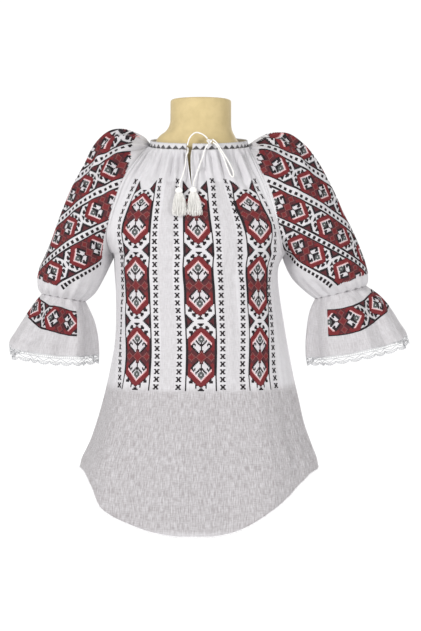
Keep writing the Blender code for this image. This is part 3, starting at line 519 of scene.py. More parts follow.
def add_piece(name, vertices, faces, look, slot):
    """A mesh piece in metres from millimetres, with its look and its place on the body. The slot is not used."""
    mesh = bpy.data.meshes.new(name)
    mesh.from_pydata((np.asarray(vertices, float) * MM).tolist(), [], [tuple(map(int, f)) for f in faces])
    mesh.update()
    mesh.shade_smooth()
    mesh.materials.append(look)
    piece = bpy.data.objects.new(name, mesh)
    bpy.context.scene.collection.objects.link(piece)
    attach(piece, "root")
    made_triangles[name] = sum(len(p.vertices) - 2 for p in mesh.polygons)
    return piece


def twisted_cord(route):
    """Three plies wound round a route, and the route's fine middle line."""
    fine = smooth_route(route, ROUTE_STEP)
    run = run_along(fine)
    one, two = carried_frame(fine)
    ply_radius = CORD_DIAMETER / 2 * PLY_SHARE
    parts = []
    for ply in range(PLIES):
        turn = 2 * math.pi * (run / LAY_LENGTH + ply / PLIES)
        away = CORD_DIAMETER / 2 - ply_radius
        path = fine + away * (np.cos(turn)[:, None] * one + np.sin(turn)[:, None] * two)
        parts.append(tube_parts(path, ply_radius, PLY_SIDES))
    return joined(parts), fine


def route_length(points):
    """Length of a line of points in millimetres."""
    return float(np.linalg.norm(np.diff(points, axis=0), axis=1).sum())


cords = {}
for name, route in CORD_ROUTES.items():
    rope, fine = twisted_cord(route)
    cords[name] = add_piece(name + "_cord", *rope, looks["cord"], "cream_cord"), fine
    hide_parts(name)
    print(name, round(route_length(fine)), "mm")

# %% [markdown]
# ## From a few measured rows to a fine surface
# A worn surface is first laid as a coarse open net of points, row by row. The net is then made finer with a
# smooth curve through its points. Gathers, folds and creases are added last, by moving each point along the
# surface's own normal. That is how real cloth folds too: it stays the same cloth and only rises and falls.

# %% Nets of points
def cubic_lines(at, count):
    """For fractional places along a net, the four lines around each and their weights."""
    at = np.asarray(at, float)
    first = np.clip(np.floor(at).astype(int), 0, count - 2)
    t = at - first
    lines = first[:, None] + np.arange(-1, 3)
    weights = np.stack(
        [-t + 2 * t**2 - t**3, 2 - 5 * t**2 + 3 * t**3, t + 4 * t**2 - 3 * t**3, t**3 - t**2], 1
    ) / 2
    low, high = lines < 0, lines > count - 1
    if low.any():  # the line before the first one continues the slope
        rows = low[:, 0]
        weights[rows, 1] += 2 * weights[rows, 0]
        weights[rows, 2] -= weights[rows, 0]
        weights[rows, 0] = 0
    if high.any():
        rows = high[:, 3]
        weights[rows, 2] += 2 * weights[rows, 3]
        weights[rows, 1] -= weights[rows, 3]
        weights[rows, 3] = 0
    return np.clip(lines, 0, count - 1), weights


def finer(net, rows, columns):
    """The net read at these fractional rows and columns."""
    lines, weights = cubic_lines(rows, net.shape[0])
    net = np.einsum("rk,rkcd->rcd", weights, net[lines])
    lines, weights = cubic_lines(columns, net.shape[1])
    return np.einsum("ck,rckd->rcd", weights, net[:, lines])


def points_on(net, rows, columns):
    """Points of the net at paired fractional rows and columns."""
    r_lines, r_weights = cubic_lines(rows, net.shape[0])
    c_lines, c_weights = cubic_lines(columns, net.shape[1])
    around = net[r_lines[:, :, None], c_lines[:, None, :]]
    return np.einsum("nr,nc,nrcd->nd", r_weights, c_weights, around)


def net_normals(net, flip, closed=False):
    """Unit normals of a net, pointing out of the garment."""
    down = np.gradient(net, axis=0)
    if closed:
        wide = np.concatenate([net[:, -1:], net, net[:, :1]], axis=1)
        across = np.gradient(wide, axis=1)[:, 1:-1]
    else:
        across = np.gradient(net, axis=1)
    normals = np.cross(across, down) * (1.0 if flip else -1.0)
    return normals / np.maximum(np.linalg.norm(normals, axis=2, keepdims=True), 1e-9)


def uneven(i, spread=0.3):
    """A steady spread of factors round 1, so that no two neighbouring folds are the same."""
    return 1 + spread * (0.6 * np.sin(2.3 * i + 0.7) + 0.4 * np.sin(5.1 * i + 1.9))


def creased(flat, creases):
    """Heights of listed creases on flat cloth, all in millimetres."""
    total = np.zeros(flat.shape[:-1])
    for line, depth, half_width in creases:
        best = np.full(flat.shape[:-1], 1e9)
        along = np.zeros(flat.shape[:-1])
        run = run_along(line)
        for i, (a, b) in enumerate(zip(line, line[1:])):
            step = b - a
            t = np.clip(((flat - a) @ step) / (step @ step), 0, 1)
            away = np.linalg.norm(flat - (a + t[..., None] * step), axis=-1)
            nearer = away < best
            best = np.where(nearer, away, best)
            along = np.where(nearer, (run[i] + t * (run[i + 1] - run[i])) / run[-1], along)
        body = np.sin(np.pi * np.clip(along, 0, 1)) ** 0.6
        total += depth * body * np.exp(-((best / half_width) ** 2) / 2)
    return total


def set_point_values(piece, name, values, kind="FLOAT"):
    """Stores a value or a vector for every vertex of a piece, for its material to read."""
    attribute = piece.data.attributes.new(name, kind, "POINT")
    key = {"FLOAT": "value", "FLOAT_VECTOR": "vector"}[kind]
    attribute.data.foreach_set(key, np.asarray(values, np.float32).ravel())


def cloth_parts(outer, normals, thickness, faces, rims):
    """A thin closed shell from an outer net: its inner face, and its edges closed along the given rims."""
    count = len(outer)
    vertices = np.concatenate([outer, outer - normals * thickness])
    solid = [tuple(f) for f in faces] + [tuple(k + count for k in reversed(tuple(f))) for f in faces]
    for rim in rims:
        for a, b in zip(rim, rim[1:]):
            solid.append((b, a, a + count, b + count))
    return vertices, solid

# %% [markdown]
# ## The bow's knot and the tassels
# The knot is the same cord pulled through itself, so its path is a small three-lobed knot. A tassel is a
# bundle of threads folded over the cord's end and bound below the fold: a round head, a tight wrap, and a
# skirt that spreads over the chest it lies on. Every thread is swept as its own wavy line, because a cone
# would look like a bell.

# %% The knot
KNOT_CENTRE = np.array([12.2, -75.6, 725.5])
KNOT_REACH = np.array([4.2, 2.9, 3.9])  # how far the cord's middle swings from the centre

loop = np.linspace(0, 2 * math.pi, 60)
knot_path = KNOT_CENTRE + KNOT_REACH * np.stack(
    [
        (np.sin(loop) + 2 * np.sin(2 * loop)) / 2.8, -np.sin(3 * loop),
        (np.cos(loop) - 2 * np.cos(2 * loop)) / 2.8
    ],
    axis=1
)
rope, knot_fine = twisted_cord(knot_path)
knot = add_piece("bow_knot_cord", *rope, looks["cord"], "cream_cord")
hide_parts("bow_knot")
print("knot cord:", round(route_length(knot_fine)), "mm")


# %% The tassels
TASSELS = {  # the foot of the bound head, and how far the skirt leans from there
    "tassel_left": ((-42.8, -108.0, 629.0), (1.5, -12.5)), "tassel_right": ((-16.9, -110.4, 629.5), (3.0, -12.5))
}
TASSEL_ROOT = np.array([6.0, 3.6])  # half its width and half its depth at the head
TASSEL_SPREAD = np.array([14.5, 4.4])  # the same at the ends of the threads
TASSEL_DROP = 43.0
TASSEL_HEAD = [
    (-1.5, 0.80), (0.4, 0.92), (2.0, 0.80), (4.0, 1.04), (6.2, 1.06), (8.3, 0.90), (9.8, 0.62), (11.2, 0.30)
]
THREADS = 150
THREAD_RADIUS = 0.42
WRAP_TURNS = 5
HEAD_RINGS = 26
HEAD_SIDES = 72
STRANDS = 24  # of thread that show round the head
GOLDEN_TURN = math.pi * (3 - math.sqrt(5))  # spreads the threads evenly over the skirt


def tassel_thread(root, lean, i):
    """One thread's path from the bound head down to its end."""
    radius = math.sqrt((i + 0.5) / THREADS)
    s, t = place = (radius * math.cos(i * GOLDEN_TURN), radius * math.sin(i * GOLDEN_TURN))
    start = root + np.array([*(TASSEL_ROOT * place * 0.9), 2.0])
    drop = TASSEL_DROP * (0.90 + 0.09 * math.sin(12.9 * i + 0.4) - 0.08 * (s * s + t * t))
    foot = root + np.array([*(TASSEL_SPREAD * place + lean), -drop])
    down = np.linspace(0, 1, 10)
    bow = down**0.72
    path = start + (foot - start) * np.stack([bow, bow, down], axis=1)
    path[:, 0] += 1.5 * np.sin(down * (5 + 2 * math.sin(i * 1.7)) + i * 2.4) * down
    path[:, 1] += 0.4 * np.cos(down * 6 + i * 1.1) * down
    return path


def round_head(turns, wide, deep, height):
    """Points round the tassel's head, from its root."""
    return np.stack(
        [wide * np.cos(turns), deep * np.sin(turns), np.broadcast_to(height, turns.shape)], axis=1
    )


def add_tassel(name, root, lean):
    """A tassel of fine threads with a bound head."""
    root = np.array(root)
    taper = THREAD_RADIUS * np.linspace(1.0, 0.8, 10)
    parts = [tube_parts(tassel_thread(root, lean, i), taper, 5) for i in range(THREADS)]
    turns = np.linspace(0, 2 * math.pi, HEAD_SIDES, endpoint=False)
    rings = []
    for height, size in TASSEL_HEAD:
        wide, deep = (
            reach * size * (1 + 0.045 * np.cos(STRANDS * turns + height * 0.5)) for reach in TASSEL_ROOT
        )
        rings.append(root + round_head(turns, wide, deep, height))
    head = finer(np.array(rings), np.linspace(0, len(rings) - 1, HEAD_RINGS), np.arange(HEAD_SIDES))
    parts.append((head.reshape(-1, 3), skin_faces(HEAD_RINGS, HEAD_SIDES)))
    wind = np.linspace(0, WRAP_TURNS * 2 * math.pi, WRAP_TURNS * 28)
    wrap = round_head(wind, TASSEL_ROOT[0] * 0.86, TASSEL_ROOT[1] * 0.90, 1.0 + wind / (2 * math.pi) * 0.55)
    parts.append(tube_parts(root + wrap, 0.36, 6))
    piece = add_piece(name + "_threads", *joined(parts), looks["cord"], "cream_cord")
    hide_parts(name)
    return piece


tassels = {name: add_tassel(name, *form) for name, form in TASSELS.items()}
print("tassels:", {k: made_triangles[k + "_threads"] for k in tassels})


# %% [markdown]
# ## The measurements of the garment
# A tailor works from a short table of measurements and a steady hand between them. Here a table is read
# along its first column by a curve that passes through every row and never overshoots, so that a sleeve
# swells and narrows without a bump. The numbers are millimetres, the same ones that the solids were made
# from.

# %% Reading a table smoothly
class Table:
    """A short table with named columns, read smoothly along its first column. A comma ends a row."""

    def __init__(self, columns, rows):
        self.columns = columns.split()
        self.values = np.array(rows.replace(",", " ").split(), float).reshape(-1, len(self.columns))

    def __call__(self, column, key):
        keys = self.values[:, 0]
        values = self.values[:, self.columns.index(column)]
        steps = np.diff(keys)
        rises = np.diff(values) / steps
        product = np.maximum(rises[:-1] * rises[1:], 0.0)
        total = rises[:-1] + rises[1:]
        inner = np.where(product > 0, 2 * product / np.where(total == 0, 1.0, total), 0.0)
        slopes = np.concatenate([[rises[0]], inner, [rises[-1]]])
        key = np.clip(key, keys[0], keys[-1])
        i = np.minimum(np.searchsorted(keys, key, side="right") - 1, len(steps) - 1)
        t = (key - keys[i]) / steps[i]
        return hermite(values[i], values[i + 1], slopes[i] * steps[i], slopes[i + 1] * steps[i], t)


# %% Measurements of the body and the hem
BODY = Table("height left right front back", """
0 -243 222 140 142, 128 -230 213 134 134, 169 -212 199 130 128, 203 -200 187 126 121, 248 -187 177 122 112,
299 -175 166 118 104, 355 -165 156 116 99, 397 -162.5 149.5 116 98, 455 -162.5 141 120 102,
480 -164 139 122 105, 505 -165 142 124 107, 524 -166.5 149.5 124 108
""")
HEM_FRONT = Table("side height", """
-1.0 121, -0.955 116, -0.91 108.5, -0.87 99.5, -0.83 87, -0.79 70.5, -0.74 57, -0.66 45.5, -0.58 37.5,
-0.47 29, -0.35 22, -0.15 16, 0.1 15, 0.24 19, 0.37 29, 0.48 43, 0.585 58, 0.67 70, 0.745 82, 0.82 96,
0.88 107, 0.93 117, 1.0 124
""")
HEM_BACK = Table("side height", """
-1.0 121, -0.92 110, -0.84 88, -0.74 62, -0.58 40, -0.35 24, 0.0 16, 0.35 26, 0.6 56, 0.76 84, 0.88 106,
1.0 124
""")
print("body rows:", len(BODY.values), "hem rows:", len(HEM_FRONT.values), len(HEM_BACK.values))

# %% Measurements of the sleeves and cuffs
SIDES = ("left", "right")
SLEEVE_HEADINGS = "station outer_x outer_z seam_x seam_z seam_share half_depth centre_y"
SLEEVES = {
    "left": Table(SLEEVE_HEADINGS, """
0 -103 741 -97 720 0.50 24 8, 1 -113 752 -110 709 0.50 34 6, 2 -140 756 -122 694 0.50 55 4,
3 -170 751 -137 673 0.50 69 3, 4 -200 724 -149 649 0.50 78 2, 5 -220 687 -159 621 0.51 82 1,
6 -240 652 -167 596 0.56 82 0, 7 -257 613 -173 573 0.66 80 0, 8 -271 577 -176.5 552 0.80 77 0,
9 -284 543 -173 534 0.93 72 0, 10 -297 513 -166.3 520.5 1.0 68 0, 11 -306 493 -176 497 1.0 67 0,
12 -310 474 -189 472 1.0 64 0, 13 -308 458 -204 449 1.0 52 0, 14 -301 446 -223 432 1.0 33 0
"""),
    "right": Table(SLEEVE_HEADINGS, """
0 88 738 82.5 720 0.50 24 8, 1 100 744 88 708 0.50 34 6, 2 124 748 95 694 0.50 55 4,
3 155 745 105 673 0.50 69 3, 4 188 723 115 649 0.50 78 2, 5 210 698 124 621 0.51 82 1,
6 230 665 131 596 0.56 82 0, 7 248 629 137 572 0.66 80 0, 8 264 593 142 550 0.80 77 0,
9 280 561 146 532 0.93 72 0, 10 294 529 149 516.5 1.0 68 0, 11 304 504 156 497 1.0 67 0,
12 309 482 168 476 1.0 64 0, 13 308 470 190 455 1.0 52 0, 14 304 461 213 437 1.0 33 0
"""),
}
FLOUNCE_HEADINGS = "station outer_x outer_z inner_x inner_z half_depth front_dip"
FLOUNCES = {
    "left": Table(FLOUNCE_HEADINGS, """
0 -301 446 -223 432 33 0, 1 -317 425 -213 411 44 2, 2 -334 399 -205 388 54 4, 3 -350 372 -201 362 62 5,
4 -361 350 -200 335 68 6, 5 -359 330 -201 316 70 6
"""),
    "right": Table(FLOUNCE_HEADINGS, """
0 304 461 213 437 33 0, 1 331 441 204 417 44 2, 2 353 414 199 390 54 4, 3 368 388 197 357 62 5,
4 380 368 198 330 68 6, 5 385 350 201 313 70 6
"""),
}
NECK_GATHER = Table("down depth", "0 0.4, 0.08 2.3, 0.2 2.3, 0.33 1.2, 0.48 0.4, 0.62 0, 1 0")
HEAD_GATHER = Table("down depth", "0 0.3, 0.1 2.4, 0.3 3.4, 0.5 2.0, 0.75 0.6, 1 0")
WRIST_GATHER = Table("station depth", "10 0, 11.6 0.3, 12.6 1.2, 13.4 1.9, 14 1.2")
RUFFLE = Table("station depth", "0 0.0, 0.8 2.8, 2 4.4, 4 7.4, 5 7.4")
print("sleeve stations:", len(SLEEVES["left"].values), "cuff stations:", len(FLOUNCES["left"].values))

# %% [markdown]
# ## The worn surface, as smooth functions
# Cloth on a body is a surface with a few plain rules. The neck seam is a tilted ring. The body is a stack
# of rounded sections. A raglan sleeve is a row of tilted ellipses, cut by the body at its seams. Writing
# each rule as a small function keeps the shape exact: any number of rows and columns can be asked for
# afterwards.

# %% The neck ring and the body
NECK_CENTRE_X = -7.5
NECK_HALF_WIDTH = 92.0
NECK_FRONT = 72.0
NECK_BACK = 68.0
NECK_HEIGHT = 722.5
NECK_SEAT = 2.25
NECK_TILT = 12.0
RAGLAN_FRONT = 78.0
RAGLAN_BACK = 120.0
CENTRE_FRONT = -10.6
NECK_SPREAD = 34.0
NECK_FORWARD = 74.0
NECK_FALL = 150.0
CHEST_FALL = 190.0
UNDERARM_STATION = 10.0
UNDERARM_HEIGHT = 520.0
BODY_ROUNDNESS = 2.25


def section_point(centre, half_width, depth, angle, roundness):
    """Points of a level superellipse. The angle is from the front, towards +X."""
    side, ahead = np.sin(angle), np.cos(angle)
    power = 2.0 / roundness
    x = centre + half_width * np.copysign(np.abs(side) ** power, side)
    return x, -depth * np.copysign(np.abs(ahead) ** power, ahead)


def neck_ring(degrees, outside=NECK_SEAT):
    """A point of the neck seam, at this angle from the ring's front towards +X."""
    angle = math.radians(degrees)
    depth = NECK_FRONT if math.cos(angle) > 0 else NECK_BACK
    x = NECK_CENTRE_X + (NECK_HALF_WIDTH + outside) * math.sin(angle)
    return np.array([x, -(depth + outside) * math.cos(angle), NECK_HEIGHT - NECK_TILT * math.cos(angle)])


@lru_cache(None)
def body_half(height, share, facing):
    """A point of the body's front (facing 1) or back (-1), with share -1 to 1 from left to right."""
    left, right = BODY("left", height), BODY("right", height)
    depth = BODY("front" if facing > 0 else "back", height)
    angles = np.linspace(-math.pi / 2, math.pi / 2, 73)
    x, y = section_point((left + right) / 2, (right - left) / 2, depth, angles, BODY_ROUNDNESS)
    run = np.concatenate([[0.0], np.cumsum(np.hypot(np.diff(x), np.diff(y)))])
    wanted = (share + 1) / 2 * run[-1]
    return np.array([np.interp(wanted, run, x), facing * np.interp(wanted, run, y), height])


def hem_height(share, facing):
    """The height of the hem at this share of the panel's half width."""
    level = 60.0
    left, right = BODY("left", level), BODY("right", level)
    side = (body_half(level, share, facing)[0] - (left + right) / 2) / ((right - left) / 2)
    return (HEM_FRONT if facing > 0 else HEM_BACK)("height", side)


print("neck seam front and side:", neck_ring(0).round(1), neck_ring(90).round(1))

# %% The raglan sleeves and the upper body
ARMPIT_CREASE = 0.4


def sleeve_point(side, station, turn):
    """A point of a sleeve: turn -1 is the front seam, 0 the outer line and 1 the back seam."""
    table = SLEEVES[side]
    outer = np.array([table("outer_x", station), 0.0, table("outer_z", station)])
    seam = np.array([table("seam_x", station), 0.0, table("seam_z", station)])
    share = min(table("seam_share", station), 1.0)
    inner = outer + (seam - outer) / share
    angle = turn * math.acos(1 - 2 * share)
    from_inner = math.pi - abs(angle)
    crease = ARMPIT_CREASE * math.exp(-(((station - UNDERARM_STATION) / 0.6) ** 2) - (from_inner / 0.7) ** 2)
    across = math.cos(angle) + crease * math.sin(from_inner)
    point = (outer + inner) / 2 + (outer - inner) / 2 * across
    point[1] = table("centre_y", station) + table("half_depth", station) * math.sin(angle)
    return point


@lru_cache(None)
def seam_down(station):
    """How far down the raglan seam a station lies, 0 at the neck and 1 at the underarm."""
    top, here, low = (SLEEVES["left"]("seam_z", s) for s in (0.0, station, UNDERARM_STATION))
    return (top - here) / (top - low)


@lru_cache(None)
def sleeve_arch(side, station, turn):
    """A sleeve's point, drawn in to the neck ring near the neck."""
    reach = 0.12
    sign = -1 if side == "left" else 1
    middle, half = (RAGLAN_FRONT + RAGLAN_BACK) / 2, (RAGLAN_BACK - RAGLAN_FRONT) / 2
    at_neck = neck_ring(sign * (middle + half * turn))
    weight = math.exp(-((seam_down(station) / reach) ** 2))
    return sleeve_point(side, station, turn) + weight * (at_neck - sleeve_point(side, 0.0, turn))


def underarm_height(share):
    """The height of a panel's underarm line, from the left seam to the right one."""
    left, right = (SLEEVES[side]("seam_z", UNDERARM_STATION) for side in SIDES)
    return left + (right - left) * (share + 1) / 2


@lru_cache(None)
def upper_column(s, station, facing):
    """The body's own line from the neck ring down to the underarm's level."""
    if facing > 0:
        span = RAGLAN_FRONT - CENTRE_FRONT if s > 0 else RAGLAN_FRONT + CENTRE_FRONT
        start = neck_ring(CENTRE_FRONT + s * span)
    else:
        start = neck_ring(180 - s * (180 - RAGLAN_BACK))
    end = np.array(body_half(UNDERARM_HEIGHT, s, facing))
    end[2] = underarm_height(s)
    leaving = np.array([NECK_SPREAD * s, -NECK_FORWARD * facing * math.cos(s * 1.2), -NECK_FALL])
    return hermite(start, end, leaving, np.array([0.0, 0.0, -CHEST_FALL]), seam_down(station))


def upper_body(share, station, facing):
    """A point of the front or back panel between the neck band and the underarm."""
    point = upper_column(share, station, facing)
    if share:
        side = "left" if share < 0 else "right"
        seam = sleeve_arch(side, station, float(-facing))
        point = point + (seam - upper_column(math.copysign(1.0, share), station, facing)) * abs(share) ** 3
    return point


print("bust front:", upper_body(0.0, 7.0, 1).round(1))


# %% The cuff flounces
def flounce_point(side, station, turn):
    """A point of a flounce or its lace. Turn -1 to 1 goes once round from the inner side by the front."""
    table = FLOUNCES[side]
    outer = np.array([table("outer_x", station), 0.0, table("outer_z", station)])
    inner = np.array([table("inner_x", station), 0.0, table("inner_z", station)])
    angle = turn * math.pi
    point = (outer + inner) / 2 + (outer - inner) / 2 * math.cos(angle)
    point[1] = table("half_depth", station) * math.sin(angle)
    point[2] += table("front_dip", station) * math.sin(angle)
    return point


print("left cuff's outer edge:", flounce_point("left", 4.0, 0.0).round(1))

# %% [markdown]
# ## The front and the back
# Front and back are straight lengths of cotton, gathered with a running thread into the neck band and left
# to hang. The gathers are close and deep under the band and die out over the bust. Longer folds begin under
# the bust and grow towards the hem. The surface is laid coarsely first, then read finely, and the gathers
# are pushed out along it.

# %% Sizes shared by the panels
LIFT = 0.6  # the fine cloth's outer face is the solids' outer face, this far out from their middle
THIN = 0.6  # thickness of the fine cloth
RAGLAN_ROWS = 11
BODY_ROWS = 8
WRIST_ROWS = 5
FRONT_COLUMNS = 36
BACK_COLUMNS = 28
SLEEVE_COLUMNS = 32
SLIT_ROWS = 5
SLIT_REACH = 4  # columns each side that its opening pushes together
SLIT_WIDTH = 11.2
SLIT_ROUND = 0.7  # below one the slit narrows late, to a round foot
WRIST_STATION = 14.0
FOLD_GROWTH = 260.0
FOLD_EDGE = 0.06
OPEN_BELOW, OPEN_FADE = 286, 20  # the weave opens below this height, over this distance
CLOSE_SHEER, OPEN_SHEER, STRIP_SHEER = 0.12, 0.80, 0.42
STRIP_INNER, STRIP_OUTER, STRIP_FOOT, STRIP_TOP = 45, 75, 274, 652  # the thinner strips of the front
HALF_PANEL = 230.0  # half the width of a panel laid flat, in millimetres round the bust
FRONT_FOLDS = [
    (-0.86, 470, -6.0, 0.07), (-0.62, 330, 4.5, 0.06), (-0.40, 380, -4.0, 0.07), (-0.12, 300, 4.0, 0.06),
    (0.16, 360, -4.5, 0.07), (0.42, 310, 4.0, 0.06), (0.66, 400, -5.0, 0.07), (0.88, 460, 4.0, 0.06)
]
BACK_FOLDS = [
    (-0.78, 440, 5.0, 0.08), (-0.50, 340, -5.0, 0.07), (-0.18, 400, 4.5, 0.08), (0.14, 330, -5.0, 0.07),
    (0.45, 420, 4.5, 0.08), (0.76, 360, -5.5, 0.08)
]
COARSE_STEP = 1 / 3  # of a row of the solids
COARSE_COLUMNS = 64
PANEL_SHARES = {"front": np.linspace(-1, 1, 217), "back": np.linspace(-1, 1, 169)}
PANEL_ROWS = np.concatenate(
    [np.linspace(0, RAGLAN_ROWS, 82)[:-1], np.linspace(RAGLAN_ROWS, RAGLAN_ROWS + BODY_ROWS, 88)]
)
SLIT_LINES = int(np.searchsorted(PANEL_ROWS, SLIT_ROWS - 1e-6))  # fine rows that the slit parts
SLIT_GAPE = SLIT_WIDTH / 2 * np.clip(1 - PANEL_ROWS / SLIT_ROWS, 0, 1) ** SLIT_ROUND
ROLL_HEIGHT, ROLL_FROM_SEAM, ROLL_WIDTH = 1.5, 9.0, 5.5  # the soft roll beside a raglan seam
SEAM_SINK, SEAM_WIDTH = 0.5, 2.2


def station_of(row):
    """A sleeve row's station."""
    row = np.asarray(row, float)
    above = row * UNDERARM_STATION / RAGLAN_ROWS
    below = UNDERARM_STATION + (row - RAGLAN_ROWS) * (WRIST_STATION - UNDERARM_STATION) / WRIST_ROWS
    return np.where(row <= RAGLAN_ROWS, above, below)


def body_place(row, share, facing):
    """A point of the front or back. Row 0 is the neck, row 11 the underarm and row 19 the hem."""
    if row <= RAGLAN_ROWS:
        return upper_body(share, float(station_of(row)), facing)
    down = (row - RAGLAN_ROWS) / BODY_ROWS
    top = underarm_height(share)
    return body_half(top + (hem_height(share, facing) - top) * down, share, facing)


def fold_depth(folds, share, height):
    """How far the long folds push the cloth out at this place."""
    total = np.zeros(np.broadcast(share, height).shape)
    for at, top, depth, width in folds:
        grown = np.clip((top - height) / FOLD_GROWTH, 0.0, 1.0)
        total += depth * grown**0.8 * np.exp(-(((share - at) / width) ** 2) / 2)
    return total * np.minimum(1.0, (1 - np.abs(share)) / FOLD_EDGE)


def coarse_body(facing):
    """The coarse net of the front or back: rows from the neck to the hem, columns from left to right."""
    rows = np.arange(0, RAGLAN_ROWS + BODY_ROWS + COARSE_STEP / 2, COARSE_STEP)
    shares = np.linspace(-1, 1, COARSE_COLUMNS + 1)
    return np.array([[body_place(float(r), float(s), facing) for s in shares] for r in rows])


body_nets = {"front": coarse_body(1), "back": coarse_body(-1)}
print("coarse nets:", {k: v.shape[:2] for k, v in body_nets.items()})

# %% [markdown]
# ## Creases set by hand
# No two folds of a worn blouse are alike. Beside the regular gathers, each side has its own drag lines:
# from the gathers towards the bust, from the underarm across the waist, and where the cloth was ironed and
# folded away. Each is a line in flat cloth with a depth and a half width. A trough has a negative depth.

# %% Creases of the front and back
def read_creases(text):
    """Creases from plain text: depth, half width, a colon, then flat places. A comma ends each."""
    read = []
    for crease in text.split(","):
        size, line = crease.split(":")
        depth, half_width = map(float, size.split())
        read.append((np.array(line.split(), float).reshape(-1, 2), depth, half_width))
    return read


# places are millimetres across from the middle, and height
FRONT_CREASES = read_creases("""
-6.3 9.2 : -150 720  -149 690  -146 650, 4.1 9.2 : -138 716  -138 688  -140 650,
-5.3 8.1 : -124 720  -128 686  -131 655, -6.1 9.2 : -98 720  -107 686  -111 650,
4.5 9.2 : -84 716  -88 684  -90 640, -6.3 9.2 : -70 718  -70 683  -64 644,
-4.7 8.1 : -46 716  -44 690  -40 664, -6.1 9.2 : -22 716  -23 676  -20 632,
-5.3 8.1 : 38 716  41 680  34 638, 3.5 8.1 : 50 712  52 680  46 640, -6.1 9.2 : 63 718  61 686  52 650,
-6.3 9.2 : 90 718  93 686  88 646, 4.7 11.5 : 108 714  113 680  110 630,
-6.9 10.3 : 125 718  135 686  129 640, 4.1 10.3 : 150 714  160 684  164 640,
-4.7 8.1 : 168 716  179 689  178 655, 1.6 8.0 : -200 560  -170 520  -120 470,
1.5 8.0 : 205 560  176 515  140 462, -1.4 9.0 : -206 500  -160 440  -96 396,
-1.4 9.0 : 204 500  150 448  96 410, 1.6 9.0 : -90 420  -84 330  -92 230  -80 120,
-1.6 9.0 : 86 400  92 300  80 190  88 90, -1.5 7.0 : -12 200  -6 140  -2 60,
-1.5 3.2 : -40 166  0 160  38 158  88 144, 1.2 3.2 : -40 160  0 154  38 152  88 138,
1.2 3.2 : 6 190  4 150  1 118, -1.8 8.0 : -150 250  -128 170  -136 90, 1.6 8.0 : 150 270  134 190  144 100,
1.3 6.0 : -48 170  -42 110  -50 50, 1.4 8.0 : 180 360  172 280  184 190,
1.5 8.0 : -186 380  -180 300  -190 210
""")
BACK_CREASES = read_creases("""
1.6 6.0 : -40 706  -52 660  -44 600, -1.6 6.0 : 36 706  50 664  40 610,
-1.5 7.0 : -100 700  -112 650  -98 596, 1.6 7.0 : 104 700  116 648  100 590,
1.6 9.0 : -204 556  -160 500  -90 470, 1.5 9.0 : 204 552  158 496  96 462,
-1.4 9.0 : -180 450  -90 408  10 420, -1.3 9.0 : 176 440  98 396  12 380,
1.8 9.0 : -60 330  -66 210  -56 90, -1.8 9.0 : 64 340  56 220  68 80, 1.7 9.0 : 150 300  142 190  152 90,
-1.7 9.0 : -150 310  -140 200  -150 96
""")
print("creases:", len(FRONT_CREASES), "front,", len(BACK_CREASES), "back")


# %% Lay the front and the back
def body_push(panel, rows, shares, points):
    """How far the gathers, folds and creases push each point of the front or back out."""
    columns = FRONT_COLUMNS if panel == "front" else BACK_COLUMNS
    column = (shares + 1) / 2 * columns
    lines = rows[:, None]
    beside = np.minimum(np.minimum(column, columns - column) / 2, 1.0)
    down = np.array([seam_down(float(s)) for s in station_of(np.minimum(rows, RAGLAN_ROWS))])
    gather = NECK_GATHER("depth", down)[:, None]
    wave = np.cos(np.pi * column) * uneven(column) + 0.25 * np.sin(2.7 * column + 0.5 * lines)
    push = np.where(lines <= RAGLAN_ROWS, gather * wave * beside, 0.0)
    height = points[..., 2]
    folds = FRONT_FOLDS if panel == "front" else BACK_FOLDS
    push = push + np.where(lines > RAGLAN_ROWS, fold_depth(folds, shares[None, :], height), 0.0)
    flat = np.stack([np.broadcast_to(shares * HALF_PANEL, height.shape), height], axis=-1)
    inside = np.clip((1 - np.abs(shares)) / 0.08, 0, 1) * np.clip(lines / 1.5, 0, 1)
    push += creased(flat, FRONT_CREASES if panel == "front" else BACK_CREASES) * inside
    ripple = 0.35 * np.sin(column * 2.9 + 0.8 * np.sin(lines * 1.3)) + 0.25 * np.sin(column * 5.3 + lines)
    push += ripple * inside * np.clip((lines - 4) / 6, 0, 1)
    edge = HALF_PANEL * (1 - np.abs(shares))[None, :]
    on_seam = np.exp(-((edge / SEAM_WIDTH) ** 2))
    roll = ROLL_HEIGHT * np.exp(-(((edge - ROLL_FROM_SEAM) / ROLL_WIDTH) ** 2)) - 0.6 * on_seam
    push += np.clip((RAGLAN_ROWS + 2 - lines) / 3, 0, 1) * roll
    push -= SEAM_SINK * on_seam
    return push, flat


def lay_panel(panel):
    """Outer points, normals and flat places of the front or back."""
    flip = panel == "back"
    shares = PANEL_SHARES[panel]
    net = finer(body_nets[panel], PANEL_ROWS / COARSE_STEP, (shares + 1) / 2 * COARSE_COLUMNS)
    push, flat = body_push(panel, PANEL_ROWS, shares, net)
    surface = net + net_normals(net, flip) * push[..., None]
    normals = net_normals(surface, flip)
    return surface + normals * LIFT, normals, flat


